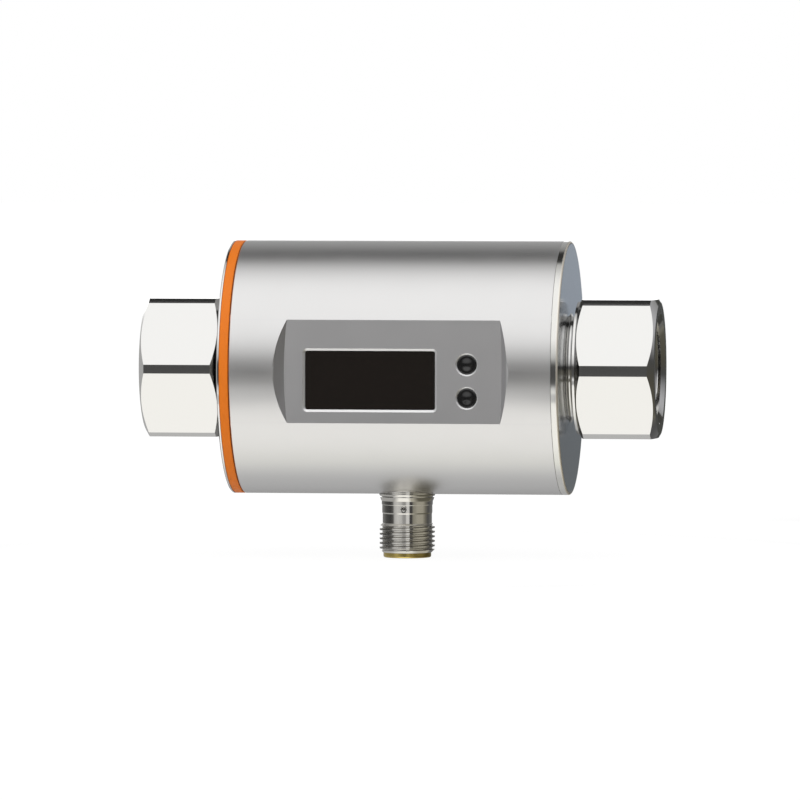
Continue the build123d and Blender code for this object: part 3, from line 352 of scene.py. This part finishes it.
def helix_wall(bm, axis, start, end, pitch, radius_at):
    """Right-handed threaded wall between two heights; radius_at gives the radius at a height and phase."""
    rows = round((end - start) / pitch + 2) * THREAD_STEPS
    side = Vector((1, 0, 0)) if axis.z else Vector((0, 0, 1))
    line = [bm.verts.new(side + axis * (start + (i / THREAD_STEPS - LEAD_IN_TURNS) * pitch))
            for i in range(rows + 1)]
    edges = [bm.edges.new(pair) for pair in zip(line, line[1:])]
    before = set(bm.verts) - set(line)
    bmesh.ops.spin(bm, geom=[*line, *edges], cent=(0, 0, 0), axis=axis, dvec=axis * (pitch / AROUND),
                   angle=2 * math.pi, steps=AROUND, use_merge=False)
    wall = set(bm.verts) - before
    cross = axis.cross(side)
    for vert in wall:
        height = vert.co.dot(axis)
        across = vert.co - axis * height
        turn = math.atan2(across.dot(cross), across.dot(side)) / (2 * math.pi)
        kept = min(max(height, start), end)
        phase = (height - start) / pitch - turn
        vert.co = axis * kept + across.normalized() * radius_at(kept, phase)
    bmesh.ops.remove_doubles(bm, verts=list(wall), dist=MERGE_DISTANCE)
    bmesh.ops.dissolve_degenerate(bm, dist=MERGE_DISTANCE, edges=bm.edges)


def spun_wall(bm, points, axis):
    """An open outline of (radius, height) points turned round an axis through the origin."""
    side = Vector((1, 0, 0)) if axis.z else Vector((0, 0, 1))
    verts = [bm.verts.new(side * radius + axis * height) for radius, height in points]
    edges = [bm.edges.new(pair) for pair in zip(verts, verts[1:])]
    bmesh.ops.spin(bm, geom=[*verts, *edges], cent=(0, 0, 0), axis=axis, angle=2 * math.pi, steps=AROUND,
                   use_merge=True)


def in_metres(points):
    """Points of an outline in millimetres turned into metres."""
    return [(radius * MM, height * MM) for radius, height in points]


def bead_points(bead):
    """Points up the slightly bowed side of a turned bead, given by its upper and its lower corner."""
    (high_radius, high), (low_radius, low) = in_metres(bead)
    bow, steps = 0.02 * MM, 6
    points = []
    for i in range(steps + 1):
        t = i / steps
        radius = low_radius + (high_radius - low_radius) * t + 4 * t * (1 - t) * bow
        points.append((radius, low + (high - low) * t))
    return points


def punch_mark(bm, place):
    """Presses a round mark into the front of a wall, deepest at its middle."""
    for vert in bm.verts:
        inside = max(0.0, 1.0 - (vert.co - place).length / MARK_RADIUS)
        vert.co.y += MARK_DEPTH * inside * inside * (3 - 2 * inside)


def make_plug_shell(settings):
    """Plug shell: saddle, collar with two beads, body with a step, relief, cut thread, stem and bore."""
    top, end = settings.plug_thread_top, settings.plug_thread_end
    crest, root, tip = 6.0 * MM, 5.42 * MM, 5.35 * MM
    stem, bore = 5.7 * MM, 4.8 * MM
    foot, collar = in_metres(PLUG_BODY_FOOT), in_metres(PLUG_COLLAR)
    relief, body, saddle = foot[0][0], foot[-1][0], collar[-1][0]
    stem_end = max(corner[2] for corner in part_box("plug_shell"))
    saddle_end = stem_end - 1.5 * MM

    def radius_at(height, phase):
        run_in = min(height - end + tip, top - height + root)
        return min(root + (crest - root) * thread_form(phase), max(run_in, tip))

    bm = bmesh.new()
    helix_wall(bm, AXES[2], end, top, settings.plug_pitch, radius_at)
    marked = [(body, MARK_PLACE.z + MARK_RADIUS * i / MARK_ROWS) for i in range(1 - MARK_ROWS, MARK_ROWS)]
    outline = [(root, top), (relief, top), *foot, *marked, *in_metres(PLUG_SHOULDER)]
    outline += [*bead_points(PLUG_LOWER_BEAD), *in_metres(PLUG_GROOVE), *bead_points(PLUG_UPPER_BEAD)]
    outline += [*collar, (saddle, saddle_end)]
    outline += [(stem, saddle_end), (stem, stem_end), (bore, stem_end), (bore, end), (tip, end)]
    spun_wall(bm, outline, AXES[2])
    punch_mark(bm, MARK_PLACE)
    bmesh.ops.translate(bm, verts=bm.verts, vec=(settings.plug_x, 0, 0))
    piece = new_piece("plug_shell_threaded", bm, CRISP_ANGLE)
    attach(piece, "sensor_body")
    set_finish(piece, "nickel")
    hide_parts("plug_shell")
    return piece


def make_pipe_thread(settings, name, inner, outer):
    """Ridges of the inner pipe thread of one fitting between two places along the flow."""
    crest, bed = settings.pipe_minor, settings.pipe_major
    root = bed - 0.05 * MM
    run_out = 0.9 * MM

    def radius_at(height, phase):
        lead = max(0.0, min(1.0, (outer - height) / run_out, (height - inner) / run_out))
        return root - (root - crest) * thread_form(phase) * lead

    bm = bmesh.new()
    helix_wall(bm, AXES[0], inner, outer, settings.pipe_pitch, radius_at)
    spun_wall(bm, [(root, inner), (bed, inner), (bed, outer), (root, outer)], AXES[0])
    piece = new_piece(name, bm)
    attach(piece, "sensor_body")
    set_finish(piece, "polished_steel")
    return piece


def make_neck_hollow(settings, name, face, side):
    """Turned hollow between an end face and the washer face of a hexagon."""
    steps = 8
    washer = settings.washer_face
    bend = (washer - face) / 2 - 0.02 * MM
    top = settings.neck_radius + bend
    under = settings.neck_radius - 0.3 * MM
    turns = [math.pi / 2 * i / steps for i in range(steps + 1)]
    near = [(top - bend * math.sin(turn), bend * (1 - math.cos(turn))) for turn in turns]
    outline = [(radius, face + run) for radius, run in near]
    outline += [(radius, washer - run) for radius, run in reversed(near)]
    outline += [(under, washer), (under, face), outline[0]]
    bm = bmesh.new()
    spun_wall(bm, [(radius, side * place) for radius, place in outline], AXES[0])
    piece = new_piece(name, bm)
    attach(piece, "sensor_body")
    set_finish(piece, "polished_steel")
    return piece


def make_button(settings, node, body):
    """Push button with a low crown, its O-ring groove, the flange behind the wall and the stem."""
    corner, far = [Vector(point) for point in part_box(node)]
    middle = (corner + far) / 2
    radius = settings.button_radius
    flange, stem = (far.x - corner.x) / 2, 1.2 * MM
    crest, stem_end = corner.y, far.y
    flange_back = stem_end - 0.38 * MM
    flange_front = flange_back - 0.8 * MM
    crown, height, steps = 1.74 * MM, 0.2 * MM, 12
    rim = crest + height
    groove, groove_start, groove_end = radius - 0.44 * MM, crest + 0.66 * MM, crest + 1.16 * MM
    outline = [(0, crest)]
    for i in range(1, steps + 1):
        outline.append((crown * i / steps, crest + height * math.sin(math.pi / 2 * i / steps) ** 2))
    outline += [(radius - 0.12 * MM, rim), (radius - 0.03 * MM, rim + 0.05 * MM), (radius, rim + 0.15 * MM)]
    outline += [(radius, groove_start), (groove, groove_start), (groove, groove_end), (radius, groove_end)]
    outline += [(radius, flange_front), (flange, flange_front), (flange, flange_back), (stem, flange_back)]
    outline += [(stem, stem_end), (0, stem_end)]
    bm = bmesh.new()
    spun_wall(bm, outline, AXES[1])
    bmesh.ops.translate(bm, verts=bm.verts, vec=(middle.x, 0, middle.z))
    piece = new_piece(node + "_crowned", bm, ROUND_ANGLE)
    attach(piece, body)
    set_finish(piece, "black_plastic")
    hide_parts(node)
    return piece


# Finishes
def housing_finish(settings):
    """Satin steel, blunter on the milled flat, with a painted highlight on the bevels round the window and
    the buttons.
    """
    finish = Finish("satin_steel")
    tree = finish.tree
    grain = finish.group("fine_grain", Vector=finish.place, Scale=7000.0, Low=0.31, High=0.36)
    geometry = new_node(tree, "ShaderNodeNewGeometry")
    normal = new_node(tree, "ShaderNodeSeparateXYZ")
    tree.links.new(geometry.outputs["True Normal"], normal.inputs[0])
    sideways = math_node(tree, "ABSOLUTE", normal.outputs[0])
    forward = math_node(tree, "ABSOLUTE", normal.outputs[1])
    bevel_middle, bevel_reach, bevel_lean = 0.27 * MM, 0.29 * MM, 0.85
    flat_reach, ramp_start, ramp_lean = 0.02 * MM, -0.04 * MM, 0.2
    behind_flat = math_node(tree, "SUBTRACT", finish.y, settings.flat_y)
    near_flat = math_node(tree, "COMPARE", behind_flat, bevel_middle, bevel_reach)
    bevel = math_node(tree, "MULTIPLY", near_flat, math_node(tree, "LESS_THAN", forward, bevel_lean))
    level = math_node(tree, "COMPARE", behind_flat, 0.0, flat_reach)
    before_flat = math_node(tree, "LESS_THAN", behind_flat, ramp_start)
    ramp = math_node(tree, "MULTIPLY", before_flat, math_node(tree, "GREATER_THAN", sideways, ramp_lean))
    milled = math_node(tree, "MAXIMUM", level, ramp)
    rough = math_node(tree, "MULTIPLY_ADD", milled, 0.07, grain.outputs["Roughness"])
    rough = math_node(tree, "MULTIPLY_ADD", bevel, 0.15, rough)
    colour = mix_colour(tree, milled, (0.615, 0.61, 0.605, 1), (0.605, 0.6, 0.605, 1))
    # The bevels get a near-white colour as a painted highlight.
    colour = mix_colour(tree, bevel, colour, (0.95, 0.95, 0.95, 1))
    finish.set(Base_Color=colour, Metallic=1.0, Roughness=rough,
               Normal=finish.bump(grain.outputs["Height"], GRAIN_DEPTH, RELIEF_STRENGTH))
    return finish


def distance_from(finish, *places):
    """Distance from a point, over the coordinates that are given."""
    total = None
    for coordinate, place in zip((finish.x, finish.y, finish.z), places):
        if place is None:
            continue
        step = math_node(finish.tree, "SUBTRACT", coordinate, place)
        square = math_node(finish.tree, "MULTIPLY", step, step)
        total = square if total is None else math_node(finish.tree, "ADD", total, square)
    return math_node(finish.tree, "SQRT", total)


def end_plate_finish():
    """Polished plate with facing lines, its rim and the rounded edge of its weld, warm from its weld tint
    and paler as a painted highlight.
    """
    finish = Finish("end_plate_steel")
    tree = finish.tree
    face, rim_radius = [far for near, far in zip(*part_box("outlet_end_plate"))][:2]
    radius = distance_from(finish, None, 0.0, 0.0)
    lines = finish.group("tool_lines", Along=radius, Scale=7000.0, Low=0.09, High=0.15)
    rim = ramp_range(tree, radius, rim_radius - 0.6 * MM, rim_radius - 0.3 * MM, 0.0, 1.0)
    edge = ramp_range(tree, finish.x, face - 0.5 * MM, face - 0.2 * MM, 0.0, 1.0)
    corner = math_node(tree, "MULTIPLY", rim, edge)
    colour = mix_colour(tree, rim, (0.60, 0.605, 0.615, 1), (0.62, 0.615, 0.59, 1))
    # The rounded edge gets a warm weld tint and, made paler, a painted highlight.
    colour = mix_colour(tree, corner, colour, (0.82, 0.77, 0.68, 1))
    rough = math_node(tree, "MULTIPLY_ADD", corner, 0.4, lines.outputs["Roughness"])
    finish.set(Base_Color=colour, Metallic=1.0, Roughness=rough,
               Normal=finish.bump(lines.outputs["Height"], POLISH_DEPTH, RELIEF_STRENGTH))
    return finish


def nickel_finish(settings):
    """Nickel on the plug, with painted shade inside the punched mark for its key."""
    finish = Finish("nickel")
    tree = finish.tree
    lines = finish.group("tool_lines", Along=finish.z, Scale=9000.0, Low=0.06, High=0.1)
    from_mark = distance_from(finish, settings.plug_x + MARK_PLACE.x, MARK_PLACE.y, MARK_PLACE.z)
    outside_mark_shade = ramp_range(tree, from_mark, 0.7 * MARK_RADIUS, MARK_RADIUS, 0.0, 1.0)
    # Inside the punched mark the colour is painted dark as painted shade.
    colour = mix_colour(tree, outside_mark_shade, (0.12, 0.115, 0.11, 1), (0.62, 0.605, 0.57, 1))
    finish.set(Base_Color=colour, Metallic=1.0, Roughness=lines.outputs["Roughness"],
               Normal=finish.bump(lines.outputs["Height"], POLISH_DEPTH, RELIEF_STRENGTH))
    return finish


def make_finishes(settings):
    """Every finish by the name of its material slot."""
    fine_grain_group()
    tool_lines_group()
    finishes = {
        "satin_steel": housing_finish(settings),
        "polished_steel": turned("polished_steel", (0.645, 0.64, 0.625), 1.0, 0, 0.08, 0.13,
                                 depth=POLISH_DEPTH),
        "plain_steel": turned("plain_steel", (0.62, 0.61, 0.60), 1.0, 1, 0.22, 0.34),
        "orange_plastic": grained("orange_plastic", (0.9, 0.215, 0.01), 0.0, 0.45, 0.55, 4000.0,
                                  Specular_IOR_Level=0.25),
        "dark_window": grained("dark_window", (0.012, 0.009, 0.007), 0.0, 0.05, 0.07, 500.0, 0.0, 0.0,
                               Coat_Weight=0.3, Coat_Roughness=0.03),
        "black_plastic": grained("black_plastic", (0.008, 0.008, 0.008), 0.0, 0.09, 0.14, 5000.0,
                                 POLISH_DEPTH, Specular_IOR_Level=0.7),
        "pipe_plastic": turned("pipe_plastic", (0.50, 0.40, 0.26), 0.0, 0, 0.35, 0.5),
        "seal_rubber": grained("seal_rubber", (0.018, 0.018, 0.018), 0.0, 0.55, 0.75, 3000.0),
        "magnet_iron": grained("magnet_iron", (0.30, 0.29, 0.28), 1.0, 0.4, 0.55, 2500.0),
        "copper_wire": turned("copper_wire", (0.60, 0.25, 0.10), 1.0, 2, 0.25, 0.4, 5000.0, 0.00002, 0.8),
        "former_plastic": grained("former_plastic", (0.55, 0.53, 0.48), 0.0, 0.4, 0.55),
        "board_green": grained("board_green", (0.02, 0.12, 0.05), 0.0, 0.25, 0.4, 3000.0),
        "ribbon_amber": grained("ribbon_amber", (0.55, 0.22, 0.04), 0.0, 0.2, 0.3, 1500.0),
        "lead_white": grained("lead_white", (0.75, 0.75, 0.72), 0.0, 0.4, 0.5),
        "brass": turned("brass", (0.56, 0.44, 0.14), 1.0, 2, 0.12, 0.2),
        "nickel": nickel_finish(settings),
    }
    return {name: finish.material for name, finish in finishes.items()}


# Operators
class FLOWSENSOR_OT_plug(bpy.types.Operator):
    """Adds the plug shell with its cut thread"""
    bl_idname = "flowsensor.plug"
    bl_label = "Plug shell"

    def execute(self, context):
        make_plug_shell(context.scene.flow_sensor)
        return {"FINISHED"}


class FLOWSENSOR_OT_pipe_threads(bpy.types.Operator):
    """Adds the ridges of the pipe thread in both fittings"""
    bl_idname = "flowsensor.pipe_threads"
    bl_label = "Pipe threads"

    def execute(self, context):
        settings = context.scene.flow_sensor
        near, far = settings.pipe_end, settings.pipe_start
        make_pipe_thread(settings, "inlet_thread_ridges", -far, -near)
        make_pipe_thread(settings, "outlet_thread_ridges", near, far)
        return {"FINISHED"}


class FLOWSENSOR_OT_necks(bpy.types.Operator):
    """Adds the turned hollows beside both hexagons"""
    bl_idname = "flowsensor.necks"
    bl_label = "Neck hollows"

    def execute(self, context):
        settings = context.scene.flow_sensor
        cap = min(point[0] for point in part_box("inlet_end_cap"))
        plate = max(point[0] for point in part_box("outlet_end_plate"))
        make_neck_hollow(settings, "inlet_neck_hollow", -cap, -1)
        make_neck_hollow(settings, "outlet_neck_hollow", plate, 1)
        return {"FINISHED"}


class FLOWSENSOR_OT_buttons(bpy.types.Operator):
    """Adds the two push buttons with their low crowns"""
    bl_idname = "flowsensor.buttons"
    bl_label = "Push buttons"

    def execute(self, context):
        settings = context.scene.flow_sensor
        make_button(settings, "upper_button", "upper_button_body")
        make_button(settings, "lower_button", "lower_button_body")
        return {"FINISHED"}


class FLOWSENSOR_OT_finishes(bpy.types.Operator):
    """Gives each node and each new piece the finish of its slot"""
    bl_idname = "flowsensor.finishes"
    bl_label = "Finishes"

    def execute(self, context):
        finishes = make_finishes(context.scene.flow_sensor)
        slots = {part["node"]: part["material_slot"] for part in frame["record"]["subparts"]}
        for name, obj in frame["nodes"].items():
            give(obj, finishes[slots[name]])
        give(frame["nodes"]["outlet_end_plate"], end_plate_finish().material)
        for obj in context.scene.objects:
            if obj.type == "MESH" and "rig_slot" in obj:
                give(obj, finishes[obj["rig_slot"]])
        return {"FINISHED"}


def give(obj, material):
    """Puts the material into every material slot of the object."""
    if not obj.material_slots:
        obj.data.materials.append(material)
    for entry in obj.material_slots:
        entry.link = "DATA"
        entry.material = material


class FLOWSENSOR_OT_studio(bpy.types.Operator):
    """Adds the floor, the light tent, the world and the camera"""
    bl_idname = "flowsensor.studio"
    bl_label = "Studio"

    def execute(self, context):
        settings = context.scene.flow_sensor
        make_floor(settings)
        make_tent()
        make_plug_cards(settings)
        make_end_card()
        make_world(context.scene)
        make_camera(context.scene, settings)
        context.scene.view_settings.view_transform = "Standard"
        return {"FINISHED"}


def band_ramp(tree, factor, low, high, bands):
    """Colour ramp over a range of a value, from (value, level) or (value, red, green, blue) stops."""
    ramp = new_node(tree, "ShaderNodeValToRGB")
    tree.links.new(ramp_range(tree, factor, low, high, 0.0, 1.0), ramp.inputs[0])
    stops = ramp.color_ramp.elements
    while len(stops) < len(bands):
        stops.new(0.5)
    for stop, (place, *level) in zip(stops, bands):
        stop.position = (place - low) / (high - low)
        stop.color = (*(level * 3)[:3], 1)
    return ramp.outputs[0]


def make_floor(settings):
    """Pale floor: white to the camera, with the soft shadow of the sensor."""
    own_glow, glow_share = 1.07, 0.88
    bm = bmesh.new()
    bmesh.ops.create_grid(bm, x_segments=1, y_segments=1, size=4.0)
    bmesh.ops.translate(bm, verts=bm.verts, vec=(0, 0, settings.floor_z))
    floor = new_piece("floor", bm)
    floor.visible_glossy = False
    finish = Finish("floor_white")
    tree = finish.tree
    finish.set(Base_Color=(0.92, 0.92, 0.92, 1), Roughness=0.9)
    path = new_node(tree, "ShaderNodeLightPath")
    glow = new_node(tree, "ShaderNodeEmission")
    glow.inputs["Color"].default_value = (1, 1, 1, 1)
    glow.inputs["Strength"].default_value = own_glow
    mix = new_node(tree, "ShaderNodeMixShader")
    seen = math_node(tree, "MAXIMUM", path.outputs["Is Camera Ray"], path.outputs["Is Transmission Ray"])
    tree.links.new(math_node(tree, "MULTIPLY", seen, glow_share), mix.inputs[0])
    tree.links.new(finish.shader.outputs[0], mix.inputs[1])
    tree.links.new(glow.outputs[0], mix.inputs[2])
    tree.links.new(mix.outputs[0], tree.nodes["Material Output"].inputs["Surface"])
    give(floor, finish.material)
    return floor


TENT_LEVEL = 1.25
TENT_RADIUS = 3.0
# Light round the sensor, in degrees from the level line in front over the top to behind.
TENT_BANDS = (
    (-180, 0.36), (-156, 0.38), (-134, 0.52), (-118, 0.54), (-106, 0.68), (-95, 0.9, 0.9, 0.85),
    (-70, 1.1, 1.09, 1.06), (-23, 1.1, 1.09, 1.06), (-17, 0.8), (-12.5, 0.09), (5, 0.07), (11, 0.6),
    (28, 1.1), (80, 1.12), (92, 0.98), (104, 0.66), (111, 0.5), (114, 0.03), (131, 0.03), (137, 0.26),
    (150, 0.36), (168, 0.36), (173, 1.2), (180, 1.2),
)
# Light from the left and the right end, by height on the tent.
LEFT_END = ((-3, 0.4), (-0.3, 0.42), (0.15, 0.42), (0.8, 0.5), (3, 0.6))
RIGHT_END = (
    (-3, 0.17, 0.16, 0.12), (-0.3, 0.08, 0.075, 0.06), (0.15, 0.07), (0.8, 0.46, 0.46, 0.48), (3, 0.6),
)
RIGHT_LOW = ((-3, 0.5, 0.48, 0.42), (-0.1, 0.42, 0.4, 0.33), (0, 1.0), (3, 1.1))
# Backdrop behind on the right, which the end plate mirrors, by height on the tent.
PLATE_SHADE = (
    (-0.6, 0.16), (-0.2, 0.12, 0.13, 0.135), (-0.14, 0.12, 0.13, 0.14), (-0.085, 0.26, 0.29, 0.33),
    (-0.04, 0.27, 0.3, 0.34), (0.1, 0.3),
)
# Light round the plug, in degrees from the camera; negative is to the left.
PLUG_BANDS = (
    (-180, 0.18), (-138, 0.18), (-112, 0.08), (-82, 0.05), (-68, 0.1), (-60, 0.5), (-44, 0.64),
    (-26, 0.55), (-19, 0.36), (-8, 0.34), (-3, 0.7), (9, 0.7), (11, 0.05), (22, 0.07),
    (26, 0.26, 0.25, 0.21), (48, 0.4, 0.38, 0.32), (74, 0.38, 0.36, 0.3), (90, 0.18, 0.17, 0.14),
    (108, 0.08), (140, 0.16), (180, 0.18),
)


def stage_light(name, bm):
    """An emitting stage piece that the camera doesn't see, with its separated Object coordinates."""
    mesh = bpy.data.meshes.new(name)
    bm.to_mesh(mesh)
    bm.free()
    light = bpy.data.objects.new(name, mesh)
    bpy.context.scene.collection.objects.link(light)
    light.visible_camera = False
    material = bpy.data.materials.new(name + "_glow")
    material.use_nodes = True
    tree = material.node_tree
    tree.nodes.remove(tree.nodes["Principled BSDF"])
    glow = new_node(tree, "ShaderNodeEmission")
    glow.inputs["Strength"].default_value = TENT_LEVEL
    tree.links.new(glow.outputs[0], tree.nodes["Material Output"].inputs["Surface"])
    coordinates = new_node(tree, "ShaderNodeTexCoord")
    split = new_node(tree, "ShaderNodeSeparateXYZ")
    tree.links.new(coordinates.outputs["Object"], split.inputs[0])
    give(light, material)
    return tree, glow.inputs["Color"], split


def degrees_of(tree, rise, run):
    """Angle of a point in degrees."""
    return math_node(tree, "MULTIPLY", math_node(tree, "ARCTAN2", rise, run), 180 / math.pi)


def make_tent():
    """Light tent round the sensor: soft boxes above and below, a dark slot at camera height."""
    bm = bmesh.new()
    bmesh.ops.create_uvsphere(bm, u_segments=48, v_segments=24, radius=TENT_RADIUS)
    bmesh.ops.reverse_faces(bm, faces=bm.faces)
    tree, colour, split = stage_light("light_tent", bm)
    x, y, z = split.outputs
    forward = math_node(tree, "MULTIPLY", y, -1.0)
    round_axis = band_ramp(tree, degrees_of(tree, z, forward), -180, 180, TENT_BANDS)

    to_right = ramp_range(tree, x, 0.45, 1.0, 0.0, 1.0)
    low_right = math_node(tree, "MULTIPLY", to_right, ramp_range(tree, z, -0.02, -0.2, 0.0, 1.0))
    low_light = band_ramp(tree, z, -TENT_RADIUS, TENT_RADIUS, RIGHT_LOW)
    round_axis = mix_colour(tree, low_right, round_axis, low_light)

    right_half = ramp_range(tree, x, 0.0, 0.2, 0.0, 1.0)
    behind = math_node(tree, "MULTIPLY", right_half, ramp_range(tree, y, 2.0, 2.3, 0.0, 1.0))
    shade = band_ramp(tree, z, PLATE_SHADE[0][0], PLATE_SHADE[-1][0], PLATE_SHADE)
    round_axis = mix_colour(tree, behind, round_axis, shade)

    left_end = band_ramp(tree, z, -TENT_RADIUS, TENT_RADIUS, LEFT_END)
    right_end = band_ramp(tree, z, -TENT_RADIUS, TENT_RADIUS, RIGHT_END)
    ends = mix_colour(tree, ramp_range(tree, x, -1.0, 1.0, 0.0, 1.0), left_end, right_end)
    near_end = ramp_range(tree, math_node(tree, "ABSOLUTE", x), 1.3, 2.1, 0.0, 1.0)
    tree.links.new(mix_colour(tree, near_end, round_axis, ends), colour)


def make_end_card():
    """Dark card behind on the right, which only the end face of the right hexagon mirrors."""
    width, height, place = 0.07, 0.1, (0.101, 0.15, 0)
    bm = bmesh.new()
    bmesh.ops.create_grid(bm, x_segments=1, y_segments=1, size=0.5)
    bmesh.ops.scale(bm, verts=bm.verts, vec=(width, height, 1))
    bmesh.ops.rotate(bm, verts=bm.verts, matrix=Matrix.Rotation(math.radians(90), 3, "X"))
    bmesh.ops.translate(bm, verts=bm.verts, vec=place)
    tree, colour, split = stage_light("end_card", bm)
    colour.default_value = (0.05, 0.05, 0.045, 1)


def make_plug_cards(settings):
    """Low ring of cards round the plug, below the level at which the hexagons see it."""
    radius, depth, middle_z = 0.1, 0.014, -0.0385
    bm = bmesh.new()
    bmesh.ops.create_cone(bm, cap_ends=False, segments=96, radius1=radius, radius2=radius, depth=depth)
    bmesh.ops.translate(bm, verts=bm.verts, vec=(settings.plug_x, 0, middle_z))
    tree, colour, split = stage_light("plug_cards", bm)
    x, y, z = split.outputs
    azimuth = degrees_of(tree, x, math_node(tree, "MULTIPLY", y, -1.0))
    from_camera = math_node(tree, "ADD", azimuth, -math.degrees(settings.camera_azimuth))
    tree.links.new(band_ramp(tree, from_camera, -180, 180, PLUG_BANDS), colour)


def make_world(scene):
    """White for the camera, for gloss and for glass, dimmer for plain light."""
    world = bpy.data.worlds.new("studio_world")
    world.use_nodes = True
    tree = world.node_tree
    path = new_node(tree, "ShaderNodeLightPath")
    seen = math_node(tree, "MAXIMUM", path.outputs["Is Camera Ray"], path.outputs["Is Glossy Ray"])
    seen = math_node(tree, "MAXIMUM", seen, path.outputs["Is Transmission Ray"])
    background = tree.nodes["Background"]
    background.inputs["Color"].default_value = (1, 1, 1, 1)
    tree.links.new(ramp_range(tree, seen, 0.0, 1.0, 0.6, 1.0), background.inputs["Strength"])
    scene.world = world


def make_camera(scene, settings):
    """Camera at the photograph's angle, aimed a little below the flow axis."""
    azimuth, elevation = settings.camera_azimuth, settings.camera_elevation
    back = Vector((math.sin(azimuth) * math.cos(elevation), -math.cos(azimuth) * math.cos(elevation),
                   math.sin(elevation)))
    right = Vector((math.cos(azimuth), math.sin(azimuth), 0))
    up = back.cross(right)
    target = -settings.aim_left * right - settings.aim_below * up
    data = bpy.data.cameras.new("photo_camera")
    width_at_sensor = settings.image_width / settings.pixels_per_metre
    data.lens = data.sensor_width * settings.camera_distance / width_at_sensor
    data.clip_start = 0.05
    data.clip_end = 20
    camera = bpy.data.objects.new("photo_camera", data)
    scene.collection.objects.link(camera)
    rotation = Matrix((right, up, back)).transposed().to_4x4()
    camera.matrix_world = Matrix.Translation(target + back * settings.camera_distance) @ rotation
    scene.camera = camera


class FLOWSENSOR_PT_panel(bpy.types.Panel):
    """Sizes of the new pieces and the buttons that add them"""
    bl_idname = "FLOWSENSOR_PT_panel"
    bl_label = "Flow sensor"
    bl_space_type = "VIEW_3D"
    bl_region_type = "UI"
    bl_category = "Flow sensor"

    def draw(self, context):
        settings = context.scene.flow_sensor
        for name in settings.bl_rna.properties.keys():
            if name not in ("rna_type", "name"):
                self.layout.prop(settings, name)
        for operator in STEPS:
            self.layout.operator(operator.bl_idname)


STEPS = (FLOWSENSOR_OT_plug, FLOWSENSOR_OT_pipe_threads, FLOWSENSOR_OT_necks, FLOWSENSOR_OT_buttons,
         FLOWSENSOR_OT_finishes, FLOWSENSOR_OT_studio)
CLASSES = (FlowSensorSettings, *STEPS, FLOWSENSOR_PT_panel)


def register():
    """Registers the classes and the settings of the scene."""
    for cls in CLASSES:
        bpy.utils.register_class(cls)
    bpy.types.Scene.flow_sensor = bpy.props.PointerProperty(type=FlowSensorSettings)


def unregister():
    """Takes the classes and the settings away again."""
    del bpy.types.Scene.flow_sensor
    for cls in reversed(CLASSES):
        bpy.utils.unregister_class(cls)


def main():
    """Builds the looks in order."""
    register()
    bpy.ops.flowsensor.plug()
    bpy.ops.flowsensor.pipe_threads()
    bpy.ops.flowsensor.necks()
    bpy.ops.flowsensor.buttons()
    bpy.ops.flowsensor.finishes()
    bpy.ops.flowsensor.studio()


if __name__ == "__main__":
    main()
